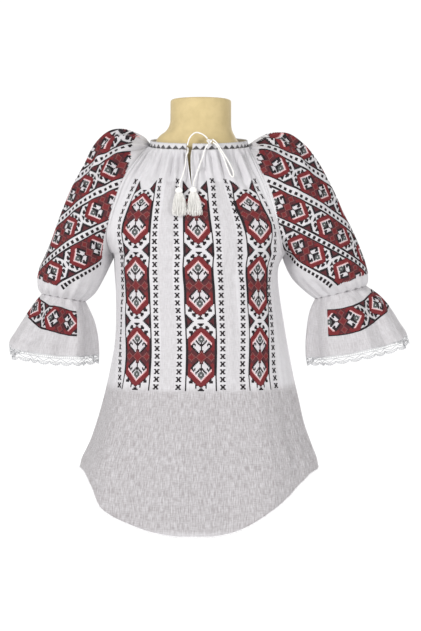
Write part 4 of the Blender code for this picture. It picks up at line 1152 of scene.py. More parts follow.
def part_slit(outer, normals, flat, faces, rims):
    """Parts the front at its middle column, which becomes the left edge. A copy is the right one."""
    rows, columns = outer.shape[:2]
    middle = columns // 2
    parted = SLIT_LINES
    shares = PANEL_SHARES["front"]
    near = np.clip(1 - np.abs(shares) * FRONT_COLUMNS / 2 / SLIT_REACH, 0, 1)
    across = np.gradient(outer, axis=1)
    across /= np.linalg.norm(across, axis=2, keepdims=True)
    shift = SLIT_GAPE[:, None] * near * np.sign(shares - 1e-9)
    moved = outer + across * shift[..., None]
    extra = moved[:parted, middle] + across[:parted, middle] * (2 * SLIT_GAPE[:parted, None])
    points = np.concatenate([moved.reshape(-1, 3), extra])
    facing = np.concatenate([normals.reshape(-1, 3), normals[:parted, middle]])
    place = np.concatenate([flat.reshape(-1, 2), flat[:parted, middle]])
    line = [r * columns + middle for r in range(parted + 1)]
    copy = [rows * columns + r for r in range(parted)] + [line[parted]]
    for r in range(parted):
        face = faces[r * (columns - 1) + middle]
        for end in (r, r + 1):
            face[face == line[end]] = copy[end]
    top = rims[0]
    rims = [top[: middle + 1]] + rims[1:] + [[copy[0]] + top[middle + 1 :], line, copy[::-1]]
    return points, facing, place, faces, rims


def cloth_piece(name, node, points, normals, place, faces, rims, sheer):
    """A thin shell of white cotton with its flat coordinates and sheerness, in place of a solid."""
    vertices, solid = cloth_parts(points.reshape(-1, 3), normals.reshape(-1, 3), THIN, faces, rims)
    place = np.tile(place.reshape(-1, 2), (2, 1))
    piece = add_piece(name, vertices, solid, looks["cotton"], "white_cotton")
    flat_values(piece, place, sheer(place))
    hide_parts(node)
    return piece


def flat_values(piece, place, sheer):
    """Stores the flat cloth coordinates in metres and the sheerness, for the weave."""
    flat = np.zeros((len(place), 3))
    flat[:, :2] = np.asarray(place) * MM
    set_point_values(piece, "flat", flat, "FLOAT_VECTOR")
    set_point_values(piece, "sheer", sheer)


def sheerness(panel, place):
    """How thin the cotton is: close above the hip, open below it, and two thinner strips in front."""
    low = np.clip((OPEN_BELOW - place[:, 1]) / OPEN_FADE, 0, 1)
    hem = (HEM_FRONT if panel == "front" else HEM_BACK)("height", place[:, 0] / HALF_PANEL)
    rolled = np.clip((place[:, 1] - hem - 3) / 6, 0.05, 1)
    sheer = CLOSE_SHEER + OPEN_SHEER * low * low * (3 - 2 * low) * rolled
    if panel == "front":
        across, up = np.abs(place[:, 0] - 1.0), place[:, 1]
        strip = (across > STRIP_INNER) & (across < STRIP_OUTER) & (up > STRIP_FOOT) & (up < STRIP_TOP)
        sheer = np.where(strip, STRIP_SHEER, sheer)
    return sheer


panels, laid = {}, {}
for panel in ("front", "back"):
    outer, normals, flat = laid[panel] = lay_panel(panel)
    rows, columns = outer.shape[:2]
    faces = grid_faces(rows, columns)
    ends = [range(columns), range(columns - 1, rows * columns, columns)]
    rims = [list(end) for end in ends + [range((rows - 1) * columns, rows * columns)[::-1]]]
    rims.append([r * columns for r in range(rows)][::-1])
    if panel == "front":
        outer, normals, flat, faces, rims = part_slit(outer, normals, flat, faces, rims)
        rims = [rim[::-1] for rim in rims]
    else:
        faces = faces[:, ::-1]
    panels[panel] = cloth_piece(
        "cloth_" + panel, "blouse_" + panel, outer, normals, flat, faces, rims, lambda p: sheerness(panel, p)
    )
print({k: made_triangles["cloth_" + k] for k in panels})

# %% [markdown]
# ## The sleeves and their flounces
# A raglan sleeve runs up to the band between front and back. It is gathered at the neck and again at the
# wrist, where the flounce begins. Between those gathers it balloons, with soft folds that run from the
# shoulder to the wrist. The sleeve is open along its seams down to the underarm and a closed tube below.

# %% Creases of the sleeves: places round from the outer line, and down the sleeve
TURN_WIDTH = 125.0  # a turn of one, laid flat
STATION_LENGTH = 27.0  # one station, laid flat
SLEEVE_SHEER = 0.2
SLEEVE_TURNS = np.linspace(-1, 1, 161)
SLEEVE_ROWS = np.linspace(0, RAGLAN_ROWS + WRIST_ROWS, 129)
TUBE_FROM = int(np.argmax(SLEEVE_ROWS >= RAGLAN_ROWS + 0.3))  # the row that closes the sleeve
SLEEVE_CREASES = {
    "left": read_creases("""
-2.4 8.0 : -70 60  -60 130  -40 220  -30 300, 2.0 8.0 : -20 90  -14 170  -26 260  -16 330,
2.2 7.0 : -96 190  -70 240  -30 280, -2.2 6.5 : -100 230  -70 275  -44 330,
-2.2 8.0 : 30 70  40 160  28 250  34 330, 2.2 8.0 : 80 110  70 200  84 290,
-2.0 4.5 : -52 300  -50 335  -56 366, -1.8 4.0 : -22 310  -24 340  -18 368,
-2.0 4.5 : 56 300  50 335  58 366
"""),
    "right": read_creases("""
-2.2 8.0 : -64 50  -52 120  -46 210  -34 300, 2.2 8.0 : -16 80  -26 160  -14 240  -22 325,
2.0 7.0 : -100 180  -72 232  -34 268, -2.4 6.5 : -98 236  -72 286  -40 326,
-2.0 8.0 : 34 80  28 170  42 262  30 332, 2.4 8.0 : 84 120  76 212  66 300,
-2.0 4.5 : -60 306  -50 338  -60 366, -1.8 4.0 : -30 312  -20 342  -28 368,
-2.0 4.5 : 50 304  58 338  50 366
"""),
}


def coarse_sleeve(side):
    """The coarse net of a sleeve, row by row from the neck to the wrist."""
    rows = np.arange(0, RAGLAN_ROWS + WRIST_ROWS + COARSE_STEP / 2, COARSE_STEP)
    turns = np.linspace(-1, 1, COARSE_COLUMNS + 1)
    net = []
    for station in station_of(rows).tolist():
        rule = sleeve_arch if station < UNDERARM_STATION else sleeve_point
        net.append([rule(side, station, float(t)) for t in turns])
    return np.array(net)


def sleeve_push(side):
    """How far the gathers and creases push each point of a sleeve out."""
    column = (SLEEVE_TURNS + 1) / 2 * SLEEVE_COLUMNS
    station = station_of(SLEEVE_ROWS)[:, None]
    down = np.array([[seam_down(float(min(s, UNDERARM_STATION)))] for s in station[:, 0]])
    beside = np.minimum(np.minimum(column, SLEEVE_COLUMNS - column) / 3, 1.0)
    head = np.sin(column * np.pi / 2) * uneven(column / 4) + 0.3 * np.sin(column * 2.9 + 1.0)
    wrist = np.cos(np.pi * column) * uneven(column)
    above = station < UNDERARM_STATION
    push = np.where(above, HEAD_GATHER("depth", down) * head * beside, WRIST_GATHER("depth", station) * wrist)
    flat = np.stack(
        np.broadcast_arrays(SLEEVE_TURNS[None, :] * TURN_WIDTH, station * STATION_LENGTH), axis=-1
    )
    inside = np.where(above, np.clip((1 - np.abs(SLEEVE_TURNS)) / 0.1, 0, 1), 1.0)
    inside = inside * np.clip(SLEEVE_ROWS[:, None] / 1.2, 0, 1) * np.clip(
        (WRIST_STATION - station) / 0.5, 0, 1
    )
    push += creased(flat, SLEEVE_CREASES[side]) * inside
    push += 0.35 * np.sin(column * 1.9 + 0.7 * np.sin(SLEEVE_ROWS[:, None])) * inside
    edge = TURN_WIDTH * (1 - np.abs(SLEEVE_TURNS))
    push -= np.where(above, SEAM_SINK * np.exp(-((edge / SEAM_WIDTH) ** 2))[None, :], 0.0)
    return push, flat


def weld_tube(net):
    """Below the underarm the first and last columns are one line, so they share their mean."""
    net = net.copy()
    net[TUBE_FROM:, 0] = net[TUBE_FROM:, -1] = (net[TUBE_FROM:, 0] + net[TUBE_FROM:, -1]) / 2
    return net


def lay_sleeve(side):
    """Outer points, normals and flat places of a sleeve, and its net before the gathers."""
    net = finer(coarse_sleeve(side), SLEEVE_ROWS / COARSE_STEP, (SLEEVE_TURNS + 1) / 2 * COARSE_COLUMNS)
    flip = side == "left"
    push, flat = sleeve_push(side)
    surface = weld_tube(net + net_normals(net, flip) * push[..., None])
    normals = weld_tube(net_normals(surface, flip))
    normals /= np.linalg.norm(normals, axis=2, keepdims=True)
    return surface + normals * LIFT, normals, flat, net


sleeves = {}
for side in SIDES:
    outer, normals, flat, _ = laid[side] = lay_sleeve(side)
    rows, columns = outer.shape[:2]
    faces = grid_faces(rows, columns)
    same = np.arange(rows * columns)
    same[(np.arange(TUBE_FROM, rows) + 1) * columns - 1] = np.arange(TUBE_FROM, rows) * columns
    seam = np.arange(TUBE_FROM + 1) * columns
    rims = [
        np.arange(columns), same[seam + columns - 1], same[(rows - 1) * columns + np.arange(columns)][::-1]
    ]
    rims = [rim.tolist() for rim in rims + [seam[::-1]]]
    if side == "left":
        faces = faces[:, ::-1]
    else:
        rims = [rim[::-1] for rim in rims]
    name = "sleeve_" + side
    sleeves[side] = cloth_piece(
        "cloth_" + name, name, outer, normals, flat, same[faces], rims,
        lambda p: np.full(len(p), SLEEVE_SHEER)
    )
print({k: made_triangles["cloth_sleeve_" + k] for k in sleeves})


# %% The flounces
FLOUNCE_CREASES = {
    "left": read_creases("""
-4.0 5.0 : -42 54  -44 70  -40 96, 2.5 5.0 : -54 54  -56 72  -54 100, -2.8 4.0 : -46 84  -74 88  -106 72,
-3.0 9.0 : -150 40  -156 70  -150 104, -2.0 6.0 : 20 20  26 60  22 100,
2.0 6.0 : -130 30  -138 70  -130 106, -2.0 6.0 : 110 26  118 66  108 104
"""),
    "right": read_creases("""
-2.2 5.0 : -50 24  -44 60  -52 104, 2.0 6.0 : 34 20  28 64  36 102, -2.0 6.0 : -128 30  -120 70  -130 106,
2.0 6.0 : 120 26  112 66  122 104
"""),
}
FLOUNCE_ROWS = 4
FLOUNCE_LENGTH = 108.0  # from the wrist to the lace
FLOUNCE_HALF_ROUND = 235.0
# partly the flounce's thinness and partly painted shade: the grey thin tone greys the whole flounce in place of
# its shade
FLOUNCE_SHEER_AND_SHADE = 0.55
FLOUNCE_STEP = 0.25  # of a station
RING_MARGIN = 3  # coarse columns past each end, so that a closed ring is read smoothly across its join
COARSE_RING = 64


def coarse_flounce(side):
    """The coarse net of a flounce and its lace."""
    stations = np.arange(0, 5.01, FLOUNCE_STEP)
    turns = (np.arange(-RING_MARGIN, COARSE_RING + RING_MARGIN + 1)) / COARSE_RING * 2 - 1
    return np.array([[flounce_point(side, float(s), float(t)) for t in turns] for s in stations])


@lru_cache(None)
def ring_wave():
    """The ruffle's waves at whole columns, so that a fine ring follows the same folds as the solids."""
    column = np.arange(SLEEVE_COLUMNS + 1) % SLEEVE_COLUMNS
    return tuple(np.sin(column * np.pi / 2 + 0.4) * uneven(column // 4 + 3))


def flounce_surface(side, stations, turns):
    """Middle points, normals and flat places of a flounce, ruffled, as a closed ring."""
    column = (turns + 1) / 2 * SLEEVE_COLUMNS
    net = finer(flounce_nets[side], stations / FLOUNCE_STEP, RING_MARGIN + (turns + 1) / 2 * COARSE_RING)
    flip = side == "left"
    down = stations[:, None]
    ruffle = np.interp(
        column % SLEEVE_COLUMNS, np.arange(SLEEVE_COLUMNS + 1.0), ring_wave(), period=SLEEVE_COLUMNS
    )
    push = RUFFLE("depth", down) * ruffle
    start = WRIST_GATHER("depth", WRIST_STATION) * np.cos(np.pi * column) * uneven(column)
    push = push + start * np.clip(1 - down / 0.8, 0, 1)
    flat = np.stack(
        np.broadcast_arrays(turns[None, :] * FLOUNCE_HALF_ROUND, down * FLOUNCE_LENGTH / FLOUNCE_ROWS),
        axis=-1
    )
    inside = np.clip(down / 0.6, 0, 1) * np.clip((4.2 - down) / 0.4, 0, 1)
    push = push + creased(flat, FLOUNCE_CREASES[side]) * inside
    push = push + 0.5 * np.sin(column * 2.6 + 1.3) * np.clip(down / 2, 0, 1)
    surface = net + net_normals(net, flip, closed=True) * push[..., None]
    return surface, net_normals(surface, flip, closed=True), flat


flounce_nets = {side: coarse_flounce(side) for side in SIDES}
RING_TURNS = np.linspace(-1, 1, 193)[:-1]
FLOUNCE_STATIONS = np.linspace(0, 4.05, 44)
flounces = {}
for side in SIDES:
    name = "flounce_" + side
    surface, normals, flat = flounce_surface(side, FLOUNCE_STATIONS, RING_TURNS)
    outer = surface + normals * LIFT
    laid[name] = outer, normals, flat
    rows, columns = outer.shape[:2]
    faces = grid_faces(rows, columns, closed=True)
    ring = list(range(columns)) + [0]
    rims = [ring, [(rows - 1) * columns + k for k in ring][::-1]]
    if side == "left":
        faces = faces[:, ::-1]
    else:
        rims = [rim[::-1] for rim in rims]
    flounces[side] = cloth_piece(
        "cloth_" + name, name, outer, normals, flat, faces, rims, lambda p: np.full(len(p), FLOUNCE_SHEER_AND_SHADE)
    )
print({k: made_triangles["cloth_flounce_" + k] for k in flounces})

# %% [markdown]
# ## The neck band
# The gathers are bound into a narrow doubled band. Its outer face is worked with a row of black triangles,
# their bases on the band's lower edge, and its upper edge is finished with tiny buttonhole scallops. The
# band is a rounded strip swept round the neck and open at the slit. The triangles and scallops are laid on
# its face as thread.

# %% The band's strip
BAND_HEIGHT = 11.0
BAND_LEAN = 1.5
BAND_COLUMNS = 280
HALF_GAP = math.degrees(SLIT_WIDTH / 2 / NECK_HALF_WIDTH)
BAND_START, BAND_END = CENTRE_FRONT + HALF_GAP, CENTRE_FRONT + 360 - HALF_GAP


def band_place(degrees, height, out):
    """A point on or off the band's middle surface."""
    angle = math.radians(degrees)
    lean = BAND_LEAN * (height / BAND_HEIGHT)
    outward = np.array([math.sin(angle), -math.cos(angle), 0.0])
    base = neck_ring(degrees, 0.0)
    return base + np.array([-lean * math.sin(angle), lean * math.cos(angle), height]) + outward * out


BAND_PROFILE = [
    (0.45, 0.75), (1.2, 0.98), (2.2, 1.0), (5.5, 1.0), (9.0, 1.0), (10.2, 0.95), (10.85, 0.6), (11.0, 0.0),
    (10.85, -0.6), (10.2, -0.95), (9.0, -1.0), (2.2, -1.0), (1.2, -0.98), (0.45, -0.75)
]
vertices = []
for degrees in np.linspace(BAND_START, BAND_END, BAND_COLUMNS + 1):
    pucker = 0.10 * math.sin(degrees * 1.45) + 0.06 * math.sin(degrees * 3.3)
    for height, out in BAND_PROFILE:
        vertices.append(band_place(degrees, height, out * (1 + pucker * (abs(out) > 0.5)) - pucker * 0.5))
faces = skin_faces(BAND_COLUMNS + 1, len(BAND_PROFILE))
band = add_piece("band_strip", vertices, faces, looks["band"], "band_cotton")
flat_values(
    band, [(c * 2.1, h) for c in range(BAND_COLUMNS + 1) for h, _ in BAND_PROFILE],
    np.full(len(vertices), 0.2)
)
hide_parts("neck_band")
print("band:", made_triangles["band_strip"], "triangles")

# %% Black triangles and a scalloped edge
TRIANGLE_WIDTH = 12.6
TRIANGLE_HEIGHT = 6.2
TRIANGLE_ROWS = 7  # lines of satin stitch in a triangle
TRIANGLE_FOOT = 1.0  # above the band's lower edge
TRIANGLE_SHARE = 0.46  # half a triangle's base, of the distance between two
ON_THE_BAND = 1.12  # how far its thread lies from the band's middle
TRIANGLE_THREAD, SCALLOP_THREAD = 0.42, 0.45
SCALLOP = 4.2
SCALLOP_FOOT, SCALLOP_RISE, SCALLOP_OUT = 10.3, 1.5, 0.55
ROUND_THE_NECK = 2 * math.pi * math.sqrt((NECK_HALF_WIDTH**2 + NECK_FRONT**2) / 2)
degrees_per_mm = 360 / ROUND_THE_NECK
triangles = int((BAND_END - BAND_START) / (TRIANGLE_WIDTH * degrees_per_mm))
pitch = (BAND_END - BAND_START) / triangles
parts = []
for t in range(triangles):
    middle = BAND_START + (t + 0.5) * pitch
    for line in range(TRIANGLE_ROWS):
        height = TRIANGLE_FOOT + TRIANGLE_HEIGHT * line / (TRIANGLE_ROWS - 0.5)
        half = TRIANGLE_SHARE * pitch * (1 - line / TRIANGLE_ROWS) * uneven(3 * t + line, 0.1)
        path = [band_place(middle + half * s, height, ON_THE_BAND) for s in np.linspace(-1, 1, 7)]
        parts.append(tube_parts(path, TRIANGLE_THREAD, 4))
band_triangles = add_piece("band_triangles", *joined(parts), looks["black"], "band_cotton")
parts = []
scallops = int((BAND_END - BAND_START) / (SCALLOP * degrees_per_mm))
step = (BAND_END - BAND_START) / scallops
for t in range(scallops):
    path = []
    for a in np.linspace(0, 1, 7):
        height = SCALLOP_FOOT + SCALLOP_RISE * math.sin(math.pi * a)
        path.append(band_place(BAND_START + t * step + a * step, height, SCALLOP_OUT))
    parts.append(tube_parts(path, SCALLOP_THREAD, 5))
band_scallops = add_piece("band_scallops", *joined(parts), looks["lace"], "white_lace")
print(triangles, "triangles and", scallops, "scallops on the band")

# %% [markdown]
# ## The lace at the cuffs
# A narrow crocheted edging hangs from each flounce. It is worked round and round: a chain along the cloth,
# a zigzag of open stitches below it, and a row of scallops whose edges carry tiny loops. Each thread is
# swept along the flounce's own surface, a little in front of or behind its neighbours, as crochet lies.

# %% Threads on the flounce's surface
LACE_SCALLOPS = 24
LACE_STATIONS = np.linspace(3.6, 5.2, 17)
LACE_MARGIN = 4  # columns past the join
LACE_TOP = 4.0  # the flounce station that it hangs from
CHAINS = ((0.00, 0.75), (0.10, 0.6), (0.30, 0.55))  # share down the lace, and the thread's radius
BARS, RIBS, LOOPS = 6, 5, 5  # in every scallop
ZIGZAG_TOP = 0.32
EDGE_TOP, EDGE_DEPTH, EDGE_ROUND = 0.66, 0.26, 0.7  # the scallop's outer arc
INNER_TOP, INNER_DEPTH, INNER_ROUND = 0.60, 0.16, 0.8  # the arc inside it
LOOP_WIDTH, LOOP_DEPTH = 0.12, 0.075
FINE, MEDIUM, THICK = 0.42, 0.62, 0.75  # radii of thread in millimetres


def lace_field(side):
    """The lace's surface and its normals as nets that go on past the join, for reading at any place."""
    surface, normals, _ = flounce_surface(side, LACE_STATIONS, RING_TURNS)
    ends = slice(-LACE_MARGIN, None), slice(None, LACE_MARGIN + 1)
    return [np.concatenate([net[:, ends[0]], net, net[:, ends[1]]], axis=1) for net in (surface, normals)]


def lace_points(field, across, down, out=0.0):
    """Points of the lace at scallops across (from 0 to 24) and shares down its height."""
    surface, normals = field
    across, down = np.broadcast_arrays(np.asarray(across, float), np.asarray(down, float))
    columns = LACE_MARGIN + (across % LACE_SCALLOPS) / LACE_SCALLOPS * len(RING_TURNS)
    rows = (LACE_TOP + down - LACE_STATIONS[0]) / (LACE_STATIONS[1] - LACE_STATIONS[0])
    return points_on(surface, rows, columns) + points_on(normals, rows, columns) * out


def lace_threads(side):
    """All the threads of one cuff's lace."""
    field = lace_field(side)
    parts = []

    def thread(across, down, radius, out=0.0, sides=5):
        parts.append(tube_parts(lace_points(field, across, down, out), radius, sides))

    rounds = np.linspace(0, LACE_SCALLOPS, LACE_SCALLOPS * 12 + 1)
    for down, radius in CHAINS:
        thread(rounds, down + 0.012 * np.sin(rounds * 31), radius)
    fine = np.linspace(0, 1, 9)
    arc = np.sin(np.pi * fine)
    rise = (EDGE_TOP - ZIGZAG_TOP) * fine
    for s in range(LACE_SCALLOPS):
        for bar in range(BARS):  # short bars between the two upper chains
            thread(np.full(3, s + (bar + 0.5) / BARS), [0.08, 0.19, 0.31], FINE, 0.1, 4)
        thread(s + 0.5 * fine, ZIGZAG_TOP + rise, MEDIUM, 0.15)
        thread(s + 0.5 + 0.5 * fine, EDGE_TOP - rise, MEDIUM, -0.1)
        thread(s + fine, INNER_TOP + INNER_DEPTH * arc**INNER_ROUND, 0.55, 0.2)
        thread(s + fine, EDGE_TOP + EDGE_DEPTH * arc**EDGE_ROUND, THICK)
        for rib in range(RIBS):  # a solid fan between the two arcs
            at = 0.18 + rib * 0.16
            high = math.sin(math.pi * at)
            ends = [INNER_TOP + 0.12 * high, EDGE_TOP + 0.25 * high]
            thread([s + 0.5 + (at - 0.5) * 0.7, s + at], ends, 0.5, 0.05, 4)
        for loop in range(LOOPS):  # tiny loops along the edge
            at = 0.14 + loop * 0.18
            bump = np.linspace(0, 1, 5)
            edge = EDGE_TOP + EDGE_DEPTH * math.sin(math.pi * at) ** EDGE_ROUND
            thread(s + at + (bump - 0.5) * LOOP_WIDTH, edge + LOOP_DEPTH * np.sin(np.pi * bump), FINE, 0.1, 4)
    return joined(parts)


laces = {}
for side in SIDES:
    piece = add_piece("lace_" + side, *lace_threads(side), looks["lace"], "white_lace")
    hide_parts("lace_" + side + "_front", "lace_" + side + "_back")
    laces[side] = piece
print({k: made_triangles["lace_" + k] for k in laces})

# %% [markdown]
# ## The embroidery
# The blouse carries counted cross-stitch: stripes down the front, slanting bands on the sleeves and a band
# on each cuff, all from one repeat of hooked lozenges and crossings. The repeat is charted here, one letter
# to a stitch and one word to a row, for one quarter: it is mirrored across its middle column and along its
# length. Each stitch is its own small raised pillow of thread that sits on the folded cloth, so the pattern
# bends with the folds.

# %% The chart and its threads
THREADS = {
    "k": (0.004, 0.003, 0.005),  # black
    "m": (0.070, 0.010, 0.014),  # deep madder
    "r": (0.150, 0.011, 0.014),  # red
    "d": (0.170, 0.055, 0.052),  # washed red
    "p": (0.72, 0.42, 0.42),  # pale pink
    "w": (0.58, 0.56, 0.58),  # white
    "g": (0.070, 0.080, 0.078),  # grey
}
QUARTER_CHART = """
kmmmmkk...... kmmmkk....... kmmkk.....kkk kmkk.......kk kkk....kk...k kk....kkk..mm k.....kkkmrrr
k.......mrrrr k..kkk.mrrrrr k..kkkmrrrrrp k...kkrrrrrpw k...krrrrrpwg k..rrrrrrpwgg k.rrrrrrpwggg
krrrrrrpwwggw krrrrrpwkwggg krrrrpwwkkwgg krrrpwkwwkkwk krrrpkkkwwkkk krrrkkwkwwwkk krrrkkwwwwwwk
krrrrkkwwwwwk kmrrrmkkwwwwk kmmrmmmkkwwmk krmmmmmmkkwmd krmmdmmmmkmdr kmmdrdmmmmdrr kmdrrrdmmdrrr
kdrrrrrddrrrr
""".split()
CHART_WIDTH = 25
CHART_PERIOD = 2 * (len(QUARTER_CHART) - 1)
CROSS_CHART = ["kk.kk", ".kkk.", ".kkk.", "kk.kk", ".....", "....."]
STITCH_FOOT = 0.25  # how far a stitch's corners stand off the cloth
STITCH_CROWN = 0.55  # how far its middle stands off


def chart_row(row):
    """One whole row of the big repeat."""
    row = row % CHART_PERIOD
    half = QUARTER_CHART[min(row, CHART_PERIOD - row)]
    return half + half[-2::-1]


def bold_row(row):
    """One row of the repeat with its black lines a stitch wider, for the sleeves and cuffs."""
    text = chart_row(row)
    half = list(text[:13])
    for k in range(12, 0, -1):
        if half[k] in ".w" and text[k - 1] == "k":
            half[k] = "k"
    return "".join(half) + "".join(half[-2::-1])


def repeating(*chart):
    """A rule that reads one row of a small repeat."""
    return lambda row: chart[row % len(chart)]


cross_row = repeating(*CROSS_CHART)
block_row = repeating(*["kkk"] * 3, *["..."] * 3)
small_block_row = repeating(*["kkk"] * 3, *["..."] * 2)


def set_thread_colours(piece, letters):
    """Gives every stitch its thread's colour, five vertices to a stitch."""
    shades = np.ones((len(letters), 5, 4), np.float32)
    for i, letter in enumerate(letters):
        shades[i, :, :3] = THREADS[letter]
    attribute = piece.data.attributes.new("thread", "FLOAT_COLOR", "POINT")
    attribute.data.foreach_set("color", shades.ravel())


class FlatCloth:
    """Finds points and normals of a folded surface from its flat coordinates."""

    def __init__(self, outer, normals, flat, extra):
        rows, columns = outer.shape[:2]
        self.values = np.concatenate([outer, normals, extra[..., None]], axis=2).reshape(rows * columns, 7)
        self.flat = np.asarray(flat, float).reshape(rows * columns, 2)
        quads = grid_faces(rows, columns)
        self.triangles = np.concatenate([quads[:, [0, 1, 2]], quads[:, [0, 2, 3]]])
        corners = np.zeros((len(self.flat), 3))
        corners[:, :2] = self.flat
        self.tree = BVHTree.FromPolygons(corners.tolist(), self.triangles.tolist())

    def at(self, places):
        """Values at flat places, and whether each was found: point, normal, extra."""
        places = np.asarray(places, float)
        found = np.full(len(places), -1)
        for i, (x, y) in enumerate(places.tolist()):
            index = self.tree.ray_cast((x, y, 1.0), (0.0, 0.0, -1.0))[2]
            if index is not None:
                found[i] = index
        triangle = self.triangles[np.maximum(found, 0)]
        a, b, c = (self.flat[triangle[:, k]] for k in range(3))
        ab, ac, ap = b - a, c - a, places - a
        whole = ab[:, 0] * ac[:, 1] - ab[:, 1] * ac[:, 0]
        whole = np.where(np.abs(whole) < 1e-9, 1e-9, whole)
        second = (ap[:, 0] * ac[:, 1] - ap[:, 1] * ac[:, 0]) / whole
        third = (ab[:, 0] * ap[:, 1] - ab[:, 1] * ap[:, 0]) / whole
        weights = np.stack([1 - second - third, second, third], axis=1)
        return np.einsum("nk,nkv->nv", weights, self.values[triangle]), found >= 0


CELL_CORNERS = np.array([(0, 0), (1, 0), (1, 1), (0, 1), (0.5, 0.5)])


def stitches(cloth, cells, letters, place, keep=None):
    """Stitches at chart cells (column, row) of a cloth: vertices, faces, letters and cell coordinates."""
    corners = np.asarray(cells, float)[:, None, :] + CELL_CORNERS
    count = len(corners)
    values, found = cloth.at(place(corners.reshape(-1, 2)))
    values = values.reshape(count, 5, 7)
    whole = found.reshape(count, 5).all(axis=1)
    if keep is not None:
        whole &= keep(values[:, 4, 6], place(corners[:, 4]))
    values, corners = values[whole], corners[whole]
    points, normals = values[..., :3], values[..., 3:6]
    normals = normals / np.linalg.norm(normals, axis=2, keepdims=True)
    points = points + normals * np.array([STITCH_FOOT] * 4 + [STITCH_CROWN])[None, :, None]
    facing = np.cross(points[:, 1] - points[:, 0], points[:, 3] - points[:, 0])
    turned = np.einsum("nv,nv->n", facing, normals[:, 4]) < 0
    start = np.arange(len(points))[:, None, None] * 5
    ahead = np.array([(0, 1, 4), (1, 2, 4), (2, 3, 4), (3, 0, 4)])[None]
    faces = np.where(turned[:, None, None], ahead[..., ::-1], ahead) + start
    kept = [letter for letter, ok in zip(letters, whole) if ok]
    return points.reshape(-1, 3), faces.reshape(-1, 3), kept, corners.reshape(-1, 2)


def stitch_piece(name, groups):
    """Joins groups of stitches into one piece."""
    groups = [group for group in groups if len(group[2])]
    shift = 0
    vertices, faces, letters, cells = [], [], [], []
    for points, group_faces, group_letters, corners in groups:
        vertices.append(points)
        faces.append(group_faces + shift)
        letters += group_letters
        cells.append(corners)
        shift += len(points)
    piece = add_piece(name, np.concatenate(vertices), np.concatenate(faces), looks["stitch"], "white_cotton")
    places = np.concatenate(cells)
    set_thread_colours(piece, letters)
    set_point_values(piece, "cells", np.column_stack([places, np.zeros(len(places))]), "FLOAT_VECTOR")
    print(name, len(letters), "stitches")
    return piece


def charted(rows, read_row):
    """Cells and letters of a chart over a range of rows, without the bare ones."""
    cells, letters = [], []
    for row in rows:
        for column, letter in enumerate(read_row(row)):
            if letter != ".":
                cells.append((column, row))
                letters.append(letter)
    return cells, letters


print("chart:", CHART_WIDTH, "stitches wide, repeats every", CHART_PERIOD, "rows")

# %% [markdown]
# ## Stripes down the front
# Three stripes run from the gathers to the hip, worked on the flat panel before it was gathered. A narrow
# column of black crosses runs along both sides of each. The rows of all three line up, because they were
# counted together.

# %% Stripe edges as flat millimetres: height, left edge, right edge
ROW_HEIGHT = 2.295
TOP_ROW_Z = 656.9
STRIPE_ROWS = 167
OPEN_END = 161  # from this row on, the side triangles are left out
FIRST_ROW = -6  # the side triangles' points
DRAWN_IN_ROWS = 28  # rows above this one are drawn together by the gathers
DRAWN_IN = 0.73
STRIPES = [
    Table("z left right", """
300 -145 -89.5, 400 -157 -92, 464 -153 -89.5, 527 -150 -88, 578 -163 -91.5, 616 -162 -96, 642 -160 -100,
658 -158 -101
"""),
    Table("z left right", """
300 -26.2 29.2, 400 -26.6 32.8, 464 -24 34.5, 527 -26 30.5, 573 -26 30, 616 -25 33, 642 -26 37, 654 -26 38.5
"""),
    Table("z left right", """
300 87 130, 400 96 144, 464 97 152, 527 93 150.3, 552 94 163, 577 92 174, 603 86.8 165, 642 95 159.5
"""),
]
CROSS_COLUMNS = [
    Table("z middle", """
275 -152, 297 -157.5, 373 -174.1, 428 -169.5, 445 -165.7, 511 -157, 535 -159, 564 -169.4, 587 -176,
616 -174.8, 654 -174.5
"""),
    Table("z middle", "300 -78.2, 401 -82, 477 -77.6, 552 -80.9, 603 -83.7, 642 -90.3"),
    Table("z middle", "301 -38, 426 -37.9, 502 -35.4, 572 -40.1, 650 -40.5"),
    Table("z middle", """
301 40, 401 43.6, 477 46.6, 527 39.3, 577 41.7, 603 43, 648 50.9
"""),
    Table("z middle", "300 75.3, 401 84.6, 464 88.7, 527 78.8, 565 83.9, 650 84.4"),
    Table("z middle", """
310 143.2, 374 150, 440 154.6, 491 159.4, 517 160, 544 170, 569 184, 596 184, 616 179.4, 642 171.9,
659 173.7
"""),
]
CROSS_WIDTH = 9.8
CROSS_CELLS = len(CROSS_CHART[0])


def stripe_row(row):
    """One row of a stripe: only the side triangles' points above it, and only its middle at the end."""
    text = chart_row(row)
    if row < 0:
        half = text[: text.index(".")].ljust(13, ".")
        return half + half[-2::-1]
    if row >= OPEN_END:
        return text[0] + "." * 7 + text[8:17] + "." * 7 + text[-1]
    return "kk" + text[2:-2] + "kk" if text[1] in "rmd" else text


def row_height(row):
    """Height of a chart row on the flat front, with the rows under the gathers drawn together."""
    under_gathers = row * np.where(row < 0, 1, DRAWN_IN) + DRAWN_IN_ROWS * (1 - DRAWN_IN)
    return TOP_ROW_Z - ROW_HEIGHT * np.where(row < DRAWN_IN_ROWS, under_gathers, row)


def stripe_place(stripe):
    """Flat place of a stripe's chart corners."""

    def place(corners):
        z = row_height(corners[:, 1])
        left = stripe("left", z)
        right = stripe("right", z)
        return np.column_stack([left + (right - left) * corners[:, 0] / CHART_WIDTH, z])

    return place


def cross_place(column):
    """Flat place of a cross column's chart corners."""

    def place(corners):
        z = TOP_ROW_Z - corners[:, 1] * ROW_HEIGHT
        middle = column("middle", z)
        return np.column_stack([middle + (corners[:, 0] - CROSS_CELLS / 2) * CROSS_WIDTH / CROSS_CELLS, z])

    return place


